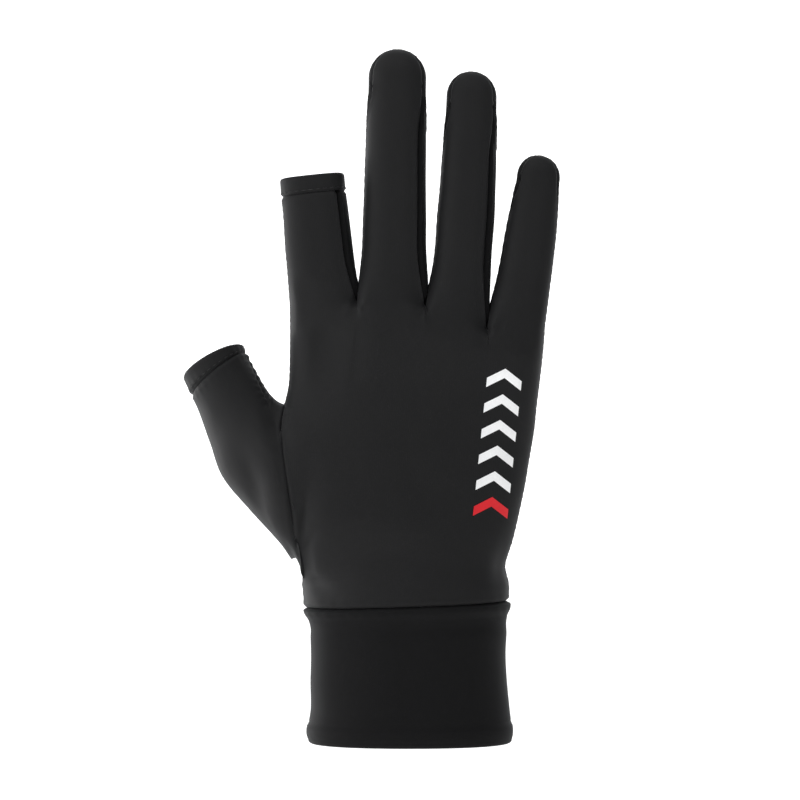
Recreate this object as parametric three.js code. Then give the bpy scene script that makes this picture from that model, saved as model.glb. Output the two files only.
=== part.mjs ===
// Fishing glove for the right hand, in millimetres, +Z up along the fingers.
// The origin is the centre of the cuff's mouth. The thumb lies to -X, the back of the hand faces -Y
// and the palm +Y. The glove keeps the form of the hand that wears it, and its walls are open inside.
import * as THREE from "three";

// Driving sizes, in millimetres and degrees
const cuffHeight = 46; // mouth of the cuff to its seam with the hand
const cuffWall = 2; // two layers of knit, folded at the mouth
const rimRoll = 0.7; // how far the cuff's sewn edge stands out beyond the hand
const seamTilt = 2.2; // rise of the cuff's seam from the thumb side to the little finger's side
const wristBreadth = 67.4;
const wristDepth = 42;
const palmLength = 103.5; // cuff seam to the crotch beside the middle finger
const palmBreadth = 85; // across the knuckles
const knuckleDepth = 24; // through the hand at the knuckles
const indexLength = 41; // crotch to the finger's open end
const middleLength = 81.4; // crotch to the tip, as are the next two
const ringLength = 77.5;
const littleLength = 54.9;
const thumbLength = 51.7; // middle of the thumb hole to the thumb's open end
const thumbBreadth = 22.4; // across the thumb's open end
const thumbLean = 32; // degrees from upright, away from the fingers
const thumbForward = 7; // how far the thumb's end stands towards the palm side
const thenarInset = 12; // how far the thumb's seam runs into the palm
const indexHemHeight = 6;
const thumbHemHeight = 4.8;
const hemWall = 1.9; // knit folded in on itself
const fabric = 1.2; // wall of the hand
const seamGap = 0.3; // between two pieces that are sewn together
const webDrop = 3.6; // the crotch seam on the back lies this far below the web between two fingers

// Cells of the net
const fingerColumns = 6; // across one finger's back, and across its palm side
const stripColumns = 2; // across a strip between two fingers
const wristRows = 2; // cuff seam to the foot of the thumb hole
const holeRows = 10; // beside the thumb hole
const knuckleRows = 6; // thumb's web to the crotches
const thumbRows = 9;
const cuffColumns = 18; // across the back, and across the palm side
const rowLength = 6.4; // aim for the rows along a finger

// The hand from the cuff's seam to the knuckles. height is a share of palmLength. toPalm and toKnuckle
// go from the wrist's breadth and depth to those of the knuckles. centre is a share of palmBreadth.
const handRows = [
  { height: 0, toPalm: 0, centre: -0.012, toKnuckle: 0 },
  { height: 0.05, toPalm: 0.03, centre: -0.012, toKnuckle: 0.06 },
  { height: 0.115, toPalm: 0.02, centre: -0.025, toKnuckle: 0.16 },
  { height: 0.2, toPalm: 0.24, centre: -0.019, toKnuckle: 0.28 },
  { height: 0.3, toPalm: 0.44, centre: -0.012, toKnuckle: 0.42 },
  { height: 0.42, toPalm: 0.69, centre: -0.008, toKnuckle: 0.58 },
  { height: 0.55, toPalm: 0.9, centre: -0.005, toKnuckle: 0.74 },
  { height: 0.635, toPalm: 0.91, centre: 0.006, toKnuckle: 0.83 },
  { height: 0.72, toPalm: 0.89, centre: 0.022, toKnuckle: 0.9 },
  { height: 0.86, toPalm: 0.95, centre: 0.031, toKnuckle: 0.97 },
  { height: 1, toPalm: 1.02, centre: 0.037, toKnuckle: 1 },
];
const thumbHole = { foot: 0.094, web: 0.635 }; // heights of its ends, as shares of palmLength

// Where the fingers part, from the thumb side on. across is a share of palmBreadth and height one of
// palmLength. drop and shift are shares of webDrop: how far the seam on the back lies below and beside
// the web. The first and last rows are the outer sides of the index and the little finger.
const crotches = [
  { name: "outer_index", height: 0.966 },
  { name: "index_middle", across: -0.198, height: 1.002, drop: 0.9, shift: 0 },
  { name: "middle_ring", across: 0.0785, height: 0.998, drop: 0.95, shift: -0.35 },
  { name: "ring_little", across: 0.314, height: 0.938, drop: 1.5, shift: -0.2 },
  { name: "outer_little", height: 0.9 },
];

// The fingers. lean is in degrees from upright, and bow and curl, the tip's bend towards the palm,
// are shares of the length. leftSeam is the place of the seam at a finger's left, in degrees from its
// side, positive towards the back.
const fingers = [
  { name: "index", length: indexLength, lean: -6, bow: 0, curl: 0.03, leftSeam: 0 },
  { name: "middle", length: middleLength, lean: 0.95, bow: 0, curl: 0.05, leftSeam: -4 },
  { name: "ring", length: ringLength, lean: 3.3, bow: 0.01, curl: 0.055, leftSeam: -4 },
  { name: "little", length: littleLength, lean: 8.6, bow: 0.012, curl: 0.06, leftSeam: 8 },
];
// Breadths of the fingers as shares of the space between their crotches. place is a share of the
// finger's length, and a closed finger rounds off beyond the last one.
const fingerBreadths = [
  { place: 0, index: 0.985, middle: 0.97, ring: 0.97, little: 0.98 },
  { place: 0.2, index: 0.975, middle: 0.875, ring: 0.92, little: 0.94 },
  { place: 0.5, index: 0.955, middle: 0.835, ring: 0.89, little: 0.885 },
  { place: 0.84, index: 0.92, middle: 0.8, ring: 0.81, little: 0.745 },
];
const fingerRoundness = 0.92; // depth of a finger as a share of its breadth

// The seams' places around a finger, in degrees from its side, positive towards the back
const seams = { right: 43, behindRight: -38, behindLeft: -46, tip: 24, side: 0 };

// The thumb from its hole to its open end, at its outer and its inner edge. up lies along the thumb,
// as shares of thumbLength, and side and depth are shares of thumbBreadth. slant lifts the back's
// side of a ring above the palm's, as a share of thumbBreadth.
const thumbRings = [
  { ring: 0, outerUp: -0.487, outerSide: 0.55, innerUp: 0.487, innerSide: -0.569, depth: 1.12, slant: 0 },
  { ring: 0.15, outerUp: -0.248, outerSide: 0.54, innerUp: 0.56, innerSide: -0.5, depth: 1.14, slant: 0 },
  { ring: 0.33, outerUp: 0.06, outerSide: 0.68, innerUp: 0.64, innerSide: -0.462, depth: 1.13, slant: 0 },
  { ring: 0.5, outerUp: 0.33, outerSide: 0.768, innerUp: 0.73, innerSide: -0.455, depth: 1.08, slant: 0 },
  { ring: 0.67, outerUp: 0.56, outerSide: 0.665, innerUp: 0.815, innerSide: -0.46, depth: 1.02, slant: 0.02 },
  { ring: 0.84, outerUp: 0.79, outerSide: 0.553, innerUp: 0.9, innerSide: -0.47, depth: 0.95, slant: 0.06 },
  { ring: 1, outerUp: 1.01, outerSide: 0.495, innerUp: 0.992, innerSide: -0.5, depth: 0.9, slant: 0.11 },
];

// The cuff from its mouth to its seam. height is a share of cuffHeight, breadth one of wristBreadth
// and depth one of wristDepth, and shift moves the centre by a share of wristBreadth.
const cuffRows = [
  { height: 0, breadth: 0.99, depth: 0.99, shift: 0.006 },
  { height: 0.08, breadth: 1.014, depth: 1.01, shift: 0.003 },
  { height: 0.25, breadth: 0.985, depth: 0.985, shift: 0.004 },
  { height: 0.45, breadth: 0.972, depth: 0.965, shift: -0.003 },
  { height: 0.63, breadth: 0.963, depth: 0.96, shift: -0.004 },
  { height: 0.8, breadth: 0.972, depth: 0.965, shift: -0.003 },
  { height: 0.91, breadth: 0.985, depth: 0.985, shift: -0.006 },
  { height: 1, breadth: 1, depth: 1, shift: -0.012 },
];

// Dents and folds. across is a share of palmBreadth and height one of palmLength, for the middle of
// the dent. length and width are shares of palmBreadth, turn is in degrees from upright, and deep is
// a share of fabric, below nought for a ridge.
const dents = [
  { name: "beside_thumb_seam", across: -0.4, height: 0.25, length: 0.2, width: 0.05, turn: 4, deep: 1.1 },
  { name: "thumb_base_swell", across: -0.52, height: 0.33, length: 0.22, width: 0.09, turn: 8, deep: -0.9 },
  { name: "web_fold", across: -0.53, height: 0.59, length: 0.1, width: 0.035, turn: -38, deep: 0.9 },
  { name: "wrist_fold_little", across: 0.37, height: 0.13, length: 0.07, width: 0.04, turn: 10, deep: 1.2 },
  { name: "wrist_fold_thumb", across: -0.36, height: 0.07, length: 0.08, width: 0.04, turn: -60, deep: 0.8 },
  { name: "under_index_crotch", across: -0.198, height: 0.95, length: 0.05, width: 0.04, turn: 0, deep: 0.6 },
  { name: "under_middle_crotch", across: 0.055, height: 0.945, length: 0.05, width: 0.04, turn: 0, deep: 0.6 },
  { name: "under_ring_crotch", across: 0.305, height: 0.87, length: 0.05, width: 0.04, turn: 0, deep: 0.6 },
];

const mix = (a, b, share) => a + (b - a) * share;
const radians = THREE.MathUtils.degToRad;
const smooth = (from, to, at) => THREE.MathUtils.smoothstep(at, from, to);

// The value of one column of a table, on a smooth curve through its rows.
function along(rows, place, column, at) {
  const last = rows.length - 1;
  const here = THREE.MathUtils.clamp(at, rows[0][place], rows[last][place]);
  let low = 0;
  while (low < last - 1 && here > rows[low + 1][place]) low += 1;
  const slope = (i) => {
    const a = rows[Math.max(i - 1, 0)];
    const b = rows[Math.min(i + 1, last)];
    return (b[column] - a[column]) / (b[place] - a[place]);
  };
  const from = rows[low];
  const to = rows[low + 1];
  const span = to[place] - from[place];
  const t = (here - from[place]) / span;
  const bend = t * (1 - t);
  return (
    mix(from[column], to[column], t * t * (3 - 2 * t)) +
    bend * span * ((1 - t) * slope(low) - t * slope(low + 1))
  );
}

// A net of points and cells. Each cell belongs to one panel of the glove, and panels share their
// border points, so what is sewn together always meets.
class Net {
  constructor() {
    this.points = [];
    this.cells = [];
  }

  point(x, y, z) {
    this.points.push(new THREE.Vector3(x, y, z));
    return this.points.length - 1;
  }

  // Corners that are one point fold into each other, so a quad becomes a triangle.
  cell(panel, ...corners) {
    const kept = corners.filter((id, i) => id !== corners[(i + 1) % corners.length]);
    if (kept.length > 2) this.cells.push({ panel, corners: kept });
  }

  // A band of cells between two closed rings of points.
  band(lower, upper, panels) {
    lower.forEach((id, i) => {
      const next = (i + 1) % lower.length;
      this.cell(panels[i], id, lower[next], upper[next], upper[i]);
    });
  }

  cellNormal(corners) {
    const [a, b, c, d] = [...corners, corners[0]].map((id) => this.points[id]);
    const across = new THREE.Vector3().subVectors(c, a);
    return across.cross(new THREE.Vector3().subVectors(corners.length > 3 ? d : a, b)).normalize();
  }

  normals() {
    const sums = this.points.map(() => new THREE.Vector3());
    for (const { corners } of this.cells) {
      const normal = this.cellNormal(corners);
      corners.forEach((id) => sums[id].add(normal));
    }
    return sums.map((sum) => sum.normalize());
  }
}

const heightZ = (height) => cuffHeight + height * palmLength;

function handBreadth(height) {
  const breadth = mix(wristBreadth, palmBreadth, along(handRows, "height", "toPalm", height));
  const centre = palmBreadth * along(handRows, "height", "centre", height);
  return { left: centre - breadth / 2, right: centre + breadth / 2 };
}

const handDepth = (height) =>
  mix(wristDepth, knuckleDepth, along(handRows, "height", "toKnuckle", height));

// Half the depth of a flattened oval, as a share, across its breadth.
const ovalPower = 2.3;
const oval = (share) => (1 - Math.abs(2 * share - 1) ** ovalPower) ** (1 / ovalPower);

// How open the thumb hole is at a height: nought at its foot and at the web, one halfway.
function holeOpen(height) {
  const share = (height - thumbHole.foot) / (thumbHole.web - thumbHole.foot);
  return Math.max(0, 4 * share * (1 - share));
}

// A point of the hand between the seams at its sides. side is -1 on the back and 1 on the palm, and
// the thumb's hole cuts the oval open before it reaches the seam on that side.
const holeCut = { back: 0.2, palm: 0.17 };
function handPoint(side, share, height) {
  const { left, right } = handBreadth(height);
  const open = holeOpen(height);
  const start = left + (side > 0 ? thenarInset * open : 0);
  const cut = open * (side > 0 ? holeCut.palm : holeCut.back);
  const round = oval(mix(cut, 1, share));
  return new THREE.Vector3(mix(start, right, share), (side * handDepth(height) * round) / 2, 0);
}

// Finger shapes
function crotchPoint(index) {
  const crotch = crotches[index];
  const z = heightZ(crotch.height);
  if (index === 0) return new THREE.Vector3(handBreadth(crotch.height).left, 0, z);
  if (index === crotches.length - 1) {
    return new THREE.Vector3(handBreadth(crotch.height).right, 0, z);
  }
  return new THREE.Vector3(crotch.across * palmBreadth, 0, z);
}

function fingerFrame(index) {
  const finger = fingers[index];
  const left = crotchPoint(index);
  const right = crotchPoint(index + 1);
  const lean = radians(finger.lean);
  const space = right.x - left.x;
  const breadth = (share) => space * along(fingerBreadths, "place", finger.name, share);
  return {
    ...finger,
    foot: left.clone().add(right).multiplyScalar(0.5),
    up: new THREE.Vector3(Math.sin(lean), 0, Math.cos(lean)),
    aside: new THREE.Vector3(Math.cos(lean), 0, -Math.sin(lean)),
    halfBreadth: (share) => breadth(share) / 2,
    tipRadius: breadth(1) / 2,
    open: finger.name === "index",
    leftStrip: index > 0,
    rightStrip: index < fingers.length - 1,
  };
}

// The rings of a finger: how far up each lies, how much it has closed in, and how far the strips at
// its sides have run out. A closed finger ends in a round cap.
const capAngles = [24, 45, 64];
const stripEnd = 0.84; // share of the length at which a strip runs out to a point
function fingerRows(finger) {
  const rows = [];
  const hemHeight = indexHemHeight;
  const straight = finger.open ? finger.length - hemHeight : finger.length - finger.tipRadius;
  const count = Math.round(straight / rowLength);
  for (let i = 1; i <= count; i += 1) {
    rows.push({ reach: straight * (i / count) ** 1.12, close: 1 });
  }
  if (finger.open) {
    rows.push({ reach: finger.length - hemHeight / 2, close: 1, hem: true });
    rows.push({ reach: finger.length, close: 1, hem: true });
    return rows;
  }
  capAngles.forEach((angle) => {
    const up = finger.tipRadius * Math.sin(radians(angle));
    rows.push({ reach: straight + up, close: Math.cos(radians(angle)) });
  });
  return rows;
}

// Angles of the seams around a finger at a share of its length, from its right side towards its back.
function seamAngles(finger, share) {
  const taper = finger.open ? 1 : 1 - smooth(0.35, stripEnd, share);
  const side = mix(seams.side, seams.tip, smooth(0.5, 0.9, share));
  const tip = seams.tip;
  return {
    backRight: finger.rightStrip ? mix(tip, seams.right, taper) : side,
    palmRight: finger.rightStrip ? mix(tip, seams.behindRight, taper) : side,
    backLeft: 180 - (finger.leftStrip ? mix(tip, finger.leftSeam, taper) : finger.open ? 0 : side),
    palmLeft: 180 - (finger.leftStrip ? mix(tip, seams.behindLeft, taper) : finger.open ? 0 : side),
  };
}

function fingerPoint(finger, reach, close, angle) {
  const share = reach / finger.length;
  const half = close < 1 ? finger.tipRadius * close : finger.halfBreadth(share);
  const turn = radians(angle);
  const bow = finger.bow * finger.length * 4 * share * (1 - share);
  const place = finger.foot.clone().addScaledVector(finger.up, reach);
  place.addScaledVector(finger.aside, half * Math.cos(turn) + bow);
  place.y += finger.curl * finger.length * share ** 2 - half * fingerRoundness * Math.sin(turn);
  return place;
}

// Stations around a finger, in turn: across the back, down the right strip, back across the palm
// side and up the left strip. part and step say which piece of the ring a station belongs to.
function fingerStations(finger) {
  const list = [];
  for (let i = 0; i <= fingerColumns; i += 1) list.push({ part: "back", step: i });
  if (finger.rightStrip) {
    for (let i = 1; i < stripColumns; i += 1) list.push({ part: "right", step: i });
  }
  const palmStart = finger.rightStrip ? fingerColumns : fingerColumns - 1;
  const palmEnd = finger.leftStrip ? 0 : 1;
  for (let i = palmStart; i >= palmEnd; i -= 1) list.push({ part: "palm", step: i });
  if (finger.leftStrip) {
    for (let i = 1; i < stripColumns; i += 1) list.push({ part: "left", step: i });
  }
  return list;
}

function stationAngle({ part, step }, angles) {
  const across = step / fingerColumns;
  if (part === "back") return mix(angles.backLeft, angles.backRight, across);
  if (part === "palm") return mix(angles.palmLeft, angles.palmRight + 360, across);
  const down = step / stripColumns;
  if (part === "right") return mix(angles.backRight, angles.palmRight, down);
  return mix(angles.palmLeft, angles.backLeft, down);
}

// Which panel the cell after each station belongs to.
function stationPanels(finger, index, list) {
  const before = index > 0 ? `fourchette_${crotches[index].name}` : "";
  const after = `fourchette_${crotches[index + 1].name}`;
  return list.map(({ part, step }, i) => {
    const next = list[(i + 1) % list.length].part;
    if (part === "back" && step < fingerColumns) return "back_panel";
    if (part === "right" || (part === "back" && finger.rightStrip)) return after;
    if (part === "left" || (part === "palm" && step === 0)) return before;
    return next === "left" ? before : "palm_panel";
  });
}

// The net of the hand and fingers
const net = new Net();
const frames = fingers.map((_, index) => fingerFrame(index));

// The web between two fingers: points from the seam on the back, over the ridge, to the palm side.
const palmDrop = 0.45; // the seam on the palm side lies this share of webDrop below the web
function webPoints(index) {
  const crotch = crotches[index];
  const ridge = crotchPoint(index);
  const depth = handDepth(crotch.height) / 2;
  const ids = [];
  for (let i = 0; i <= stripColumns; i += 1) {
    const share = i / stripColumns;
    const arch = 4 * share * (1 - share);
    const drop = mix(crotch.drop, palmDrop, share) * (1 - arch) * webDrop;
    const x = ridge.x + crotch.shift * webDrop * (1 - share);
    ids.push(net.point(x, mix(-0.62, 0.62, share) * depth, ridge.z - drop));
  }
  return ids;
}

// The ring of points where a finger grows out of the hand. Its ends lie on the webs, and the points
// between them follow the finger's own round section.
function fingerFoot(index, webs) {
  const finger = frames[index];
  const angles = seamAngles(finger, 0);
  const row = (part, fromId, toId) => {
    const at = (step) => fingerPoint(finger, 0, 1, stationAngle({ part, step }, angles));
    const from = net.points[fromId].clone().sub(at(0));
    const to = net.points[toId].clone().sub(at(fingerColumns));
    const ids = [fromId];
    for (let step = 1; step < fingerColumns; step += 1) {
      const share = step / fingerColumns;
      const place = at(step).addScaledVector(from, 1 - share).addScaledVector(to, share);
      ids.push(net.point(place.x, place.y, place.z));
    }
    ids.push(toId);
    return ids;
  };
  const [left, right] = [webs[index], webs[index + 1]];
  return {
    back: row("back", left[0], right[0]),
    palm: row("palm", left[left.length - 1], right[right.length - 1]),
    left,
    right,
  };
}

const sidePoint = (index) => {
  const place = crotchPoint(index);
  return [net.point(place.x, place.y, place.z)];
};
const webs = crotches.map((_, i) =>
  i === 0 || i === crotches.length - 1 ? sidePoint(i) : webPoints(i),
);
const feet = fingers.map((_, index) => fingerFoot(index, webs));

// One finger, ring by ring, from its foot to its tip or open end.
const footBlend = 15; // above this height a finger has its own section
function buildFinger(index) {
  const finger = frames[index];
  const stations = fingerStations(finger);
  const panels = stationPanels(finger, index, stations);
  const foot = feet[index];
  const footIds = stations.map(({ part, step }) => {
    if (part === "left") return foot.left[stripColumns - step];
    return foot[part][step];
  });
  const start = seamAngles(finger, 0);
  const offsets = stations.map((station, i) =>
    net.points[footIds[i]].clone().sub(fingerPoint(finger, 0, 1, stationAngle(station, start))),
  );
  let below = footIds;
  for (const row of fingerRows(finger)) {
    const share = row.reach / finger.length;
    const angles = seamAngles(finger, share);
    const fade = Math.max(0, 1 - row.reach / footBlend) ** 2;
    const merged = !finger.open && share >= stripEnd;
    const ids = [];
    stations.forEach((station, i) => {
      const before = stations[i - 1];
      const inStrip = station.part === "right" || (before && before.part === "right");
      if (merged && (inStrip || (before && before.part === "back" && station.part === "palm"))) {
        ids.push(ids[i - 1]);
        return;
      }
      if (merged && station.part === "left") {
        ids.push(ids[0]);
        return;
      }
      const place = fingerPoint(finger, row.reach, row.close, stationAngle(station, angles));
      place.addScaledVector(offsets[i], fade);
      ids.push(net.point(place.x, place.y, place.z));
    });
    if (merged && finger.leftStrip) {
      const palmStart = stations.findIndex((s) => s.part === "palm" && s.step === 0);
      ids[palmStart] = ids[0];
    }
    net.band(below, ids, row.hem ? panels.map(() => "index_hem") : panels);
    below = ids;
  }
  if (finger.open) return;
  const top = fingerPoint(finger, finger.length, 0.0001, 0);
  const tip = net.point(top.x, top.y, top.z);
  net.band(below, below.map(() => tip), panels);
}
fingers.forEach((_, index) => buildFinger(index));

// The hand below the fingers, from the knuckles down to the cuff's seam. Each row runs across the
// back and across the palm side, and the thumb hole opens where the two don't share their first point.
const topRow = (part) =>
  feet.flatMap((foot, i) => (i === 0 ? foot[part] : foot[part].slice(1)));
const rowShares = [];
for (let i = 0; i < wristRows; i += 1) {
  rowShares.push((thumbHole.foot * i) / wristRows);
}
for (let i = 0; i < holeRows; i += 1) {
  rowShares.push(mix(thumbHole.foot, thumbHole.web, i / holeRows));
}
for (let i = 0; i < knuckleRows; i += 1) {
  rowShares.push(mix(thumbHole.web, crotches[0].height, i / knuckleRows));
}
const handTop = { back: topRow("back"), palm: topRow("palm") };
const handColumns = fingerColumns * fingers.length;

// The depth of the line that joins the fingers' crests, at one column of the top row.
function crestDepth(part, column) {
  const crest = (finger) => net.points[handTop[part][(finger + 0.5) * fingerColumns]].y;
  const finger = column / fingerColumns - 0.5;
  if (finger < 0 || finger > fingers.length - 1) return net.points[handTop[part][column]].y;
  const from = Math.min(Math.floor(finger), fingers.length - 2);
  return mix(crest(from), crest(from + 1), smooth(0, 1, finger - from));
}

function handRow(rowHeight) {
  const share = rowHeight / crotches[0].height;
  const level = smooth(0.55, 0.95, share); // the hand levels out to the line of the crests
  const parting = smooth(0.9, 1, share); // and the fingers part just below the crotches
  const make = (part, side, column, sharedId) => {
    if (sharedId !== undefined) return sharedId;
    const top = net.points[handTop[part][column]];
    const topHeight = (top.z - cuffHeight) / palmLength;
    const edges = handBreadth(topHeight);
    const topShare = (top.x - edges.left) / (edges.right - edges.left);
    const wristShare = (1 - Math.cos((Math.PI * column) / handColumns)) / 2;
    const across = mix(wristShare, topShare, share);
    const place = handPoint(side, across, topHeight * share);
    const tilt = seamTilt * (across - 0.5) * (1 - share);
    return net.point(
      place.x,
      mix(mix(place.y, crestDepth(part, column), level), top.y, parting),
      mix(cuffHeight + seamGap / 2, top.z, share) + tilt,
    );
  };
  const open = holeOpen(rowHeight) > 1e-6;
  const back = [];
  const palm = [];
  for (let column = 0; column <= handColumns; column += 1) {
    back.push(make("back", -1, column));
    const shared = column === handColumns || (column === 0 && !open) ? back[column] : undefined;
    palm.push(make("palm", 1, column, shared));
  }
  return { back, palm };
}

const handNet = rowShares.map(handRow);
handNet.push(handTop);
handNet.slice(1).forEach((row, i) => {
  const below = handNet[i];
  for (let column = 0; column < handColumns; column += 1) {
    const next = column + 1;
    net.cell("back_panel", below.back[column], below.back[next], row.back[next], row.back[column]);
    net.cell("palm_panel", below.palm[next], below.palm[column], row.palm[column], row.palm[next]);
  }
});

// The thumb grows out of its hole. Its rings lean over from the hole, which faces the side, to the
// open end, which faces along the thumb.
const holeFoot = wristRows;
const holeWeb = wristRows + holeRows;
const holeIds = [];
for (let i = holeFoot; i <= holeWeb; i += 1) holeIds.push(handNet[i].back[0]);
for (let i = holeWeb - 1; i > holeFoot; i -= 1) holeIds.push(handNet[i].palm[0]);

const lean = radians(thumbLean);
const thumbUp = new THREE.Vector3(-Math.sin(lean), 0, Math.cos(lean));
const thumbOut = new THREE.Vector3(-Math.cos(lean), 0, -Math.sin(lean));
const holeMiddle = net.points[holeIds[0]].clone().add(net.points[holeIds[holeRows]]).multiplyScalar(0.5);

function thumbPoint(ring, angle) {
  const at = (column) => along(thumbRings, "ring", column, ring);
  const edge = (side) =>
    holeMiddle
      .clone()
      .addScaledVector(thumbUp, at(`${side}Up`) * thumbLength)
      .addScaledVector(thumbOut, at(`${side}Side`) * thumbBreadth);
  const outer = edge("outer");
  const inner = edge("inner");
  const place = outer.lerp(inner, (1 + Math.cos(angle)) / 2);
  place.addScaledVector(thumbUp, at("slant") * thumbBreadth * Math.sin(angle));
  place.y += thumbForward * smooth(0, 1, ring) - (Math.sin(angle) * at("depth") * thumbBreadth) / 2;
  return place;
}

const thumbAngle = (i) => Math.PI * (1 - i / holeRows);
const holeOffsets = holeIds.map((id, i) => net.points[id].clone().sub(thumbPoint(0, thumbAngle(i))));
const thumbHemStart = 1 - thumbHemHeight / thumbLength;
const thumbShares = [];
for (let i = 1; i <= thumbRows; i += 1) thumbShares.push((thumbHemStart * i) / thumbRows);
thumbShares.push((thumbHemStart + 1) / 2, 1);
let thumbBelow = holeIds;
for (const ring of thumbShares) {
  const fade = (1 - smooth(0, 0.75, ring)) ** 1.3;
  const ids = holeIds.map((_, i) => {
    const place = thumbPoint(ring, thumbAngle(i)).addScaledVector(holeOffsets[i], fade);
    return net.point(place.x, place.y, place.z);
  });
  const panel = ring > thumbHemStart + 1e-6 ? "thumb_hem" : "thumb_panel";
  net.band(thumbBelow, ids, ids.map(() => panel));
  thumbBelow = ids;
}

// Dents and folds move the points of the back of the glove in or out.
function dentDepth(point, normal) {
  if (normal.y > 0) return 0;
  return dents.reduce((sum, dent) => {
    const dx = point.x - dent.across * palmBreadth;
    const dz = point.z - heightZ(dent.height);
    const turn = radians(dent.turn);
    const lengthwise = dz * Math.cos(turn) + dx * Math.sin(turn);
    const crosswise = dx * Math.cos(turn) - dz * Math.sin(turn);
    const near =
      (lengthwise / (dent.length * palmBreadth)) ** 2 + (crosswise / (dent.width * palmBreadth)) ** 2;
    return sum + dent.deep * fabric * Math.exp(-near) * Math.min(1, -normal.y * 1.4);
  }, 0);
}
const smoothNormals = net.normals();
net.points.forEach((point, id) => {
  point.addScaledVector(smoothNormals[id], -dentDepth(point, smoothNormals[id]));
});
const normals = net.normals();

// The shell of one panel: its cells, the same cells a wall's thickness further in, and the walls
// around its border. Where another panel begins, the border draws back by half the seam's gap.
const edgeKey = (a, b) => (a < b ? `${a}_${b}` : `${b}_${a}`);
const edgeUse = new Map();
for (const { corners } of net.cells) {
  corners.forEach((id, i) => {
    const key = edgeKey(id, corners[(i + 1) % corners.length]);
    edgeUse.set(key, (edgeUse.get(key) ?? 0) + 1);
  });
}

const mostMiter = 1.5;
function drawnBack(border) {
  const pulls = new Map();
  for (const { from, to, normal } of border) {
    if (edgeUse.get(edgeKey(from, to)) < 2) continue;
    const edge = new THREE.Vector3().subVectors(net.points[to], net.points[from]).normalize();
    const inwards = new THREE.Vector3().crossVectors(normal, edge);
    for (const id of [from, to]) {
      if (!pulls.has(id)) pulls.set(id, []);
      pulls.get(id).push(inwards);
    }
  }
  const moves = new Map();
  pulls.forEach((list, id) => {
    const sum = list.reduce((total, v) => total.add(v), new THREE.Vector3());
    const share = sum.length() / list.length;
    const miter = Math.min(mostMiter, 1 / Math.max(share, 1e-3));
    moves.set(id, sum.normalize().multiplyScalar((miter * seamGap) / 2));
  });
  return moves;
}

function shell(panel, wall) {
  const cells = net.cells.filter((cell) => cell.panel === panel);
  const used = new Map();
  for (const { corners } of cells) {
    corners.forEach((id, i) => {
      const key = edgeKey(id, corners[(i + 1) % corners.length]);
      used.set(key, (used.get(key) ?? 0) + 1);
    });
  }
  const border = [];
  for (const { corners } of cells) {
    corners.forEach((from, i) => {
      const to = corners[(i + 1) % corners.length];
      if (used.get(edgeKey(from, to)) === 1) {
        border.push({ from, to, normal: net.cellNormal(corners) });
      }
    });
  }
  const moves = drawnBack(border);
  const positions = [];
  const index = [];
  const place = new Map();
  const ids = [...new Set(cells.flatMap((cell) => cell.corners))];
  ids.forEach((id, i) => {
    const outer = net.points[id].clone().add(moves.get(id) ?? new THREE.Vector3());
    const inner = outer.clone().addScaledVector(normals[id], -wall);
    positions.push(...outer.toArray(), ...inner.toArray());
    place.set(id, 2 * i);
  });
  for (const { corners } of cells) {
    for (let i = 1; i < corners.length - 1; i += 1) {
      const [a, b, c] = [corners[0], corners[i], corners[i + 1]].map((id) => place.get(id));
      index.push(a, b, c, a + 1, c + 1, b + 1);
    }
  }
  for (const { from, to } of border) {
    const [a, b] = [place.get(from), place.get(to)];
    // Both panels at a seam split their walls along the same diagonal, so the walls stay parallel.
    if (from < to) index.push(a, a + 1, b, b, a + 1, b + 1);
    else index.push(a, b + 1, b, a, a + 1, b + 1);
  }
  const geometry = new THREE.BufferGeometry();
  geometry.setAttribute("position", new THREE.Float32BufferAttribute(positions, 3));
  geometry.setIndex(index);
  geometry.computeVertexNormals();
  return geometry;
}

// The cuff: a folded band whose upper edge rolls out a little where it is sewn to the hand.
function cuffGeometry() {
  const top = cuffHeight - seamGap / 2;
  const profile = [];
  const rows = cuffRows.map((row) => row.height);
  rows.forEach((height) => profile.push({ height, inset: 0 }));
  profile.push({ height: 1, inset: 0.5 });
  [...rows].reverse().forEach((height) => profile.push({ height, inset: 1 }));
  profile.push({ height: 0, inset: 0.5 });
  const lip = { low: -0.3, high: 0.12 }; // how far the folds at the mouth and the seam round out
  const around = 2 * cuffColumns;
  const positions = [];
  for (let i = 0; i < around; i += 1) {
    const side = i < cuffColumns ? -1 : 1;
    const column = i < cuffColumns ? i : around - i;
    const share = (1 - Math.cos((Math.PI * column) / cuffColumns)) / 2;
    for (const { height, inset } of profile) {
      const at = (name) => along(cuffRows, "height", name, height);
      const roll = rimRoll * smooth(0.93, 1, height);
      const breadth = wristBreadth * at("breadth") + 2 * roll - 2 * inset * cuffWall;
      const depth = wristDepth * at("depth") + 2 * roll - 2 * inset * cuffWall;
      const x = wristBreadth * at("shift") + breadth * (share - 0.5);
      const y = (side * depth * oval(share)) / 2;
      const fold = inset === 0.5 ? (height > 0.5 ? lip.high : lip.low) * cuffWall : 0;
      const tilt = seamTilt * (share - 0.5) * height;
      positions.push(x, y, height * top + tilt + Math.min(fold, 0));
    }
  }
  const index = [];
  for (let i = 0; i < around; i += 1) {
    for (let j = 0; j < profile.length; j += 1) {
      const a = i * profile.length + j;
      const b = ((i + 1) % around) * profile.length + j;
      const up = (j + 1) % profile.length;
      const c = ((i + 1) % around) * profile.length + up;
      const d = i * profile.length + up;
      index.push(a, b, c, a, c, d);
    }
  }
  const geometry = new THREE.BufferGeometry();
  geometry.setAttribute("position", new THREE.Float32BufferAttribute(positions, 3));
  geometry.setIndex(index);
  geometry.computeVertexNormals();
  return geometry;
}

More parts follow.
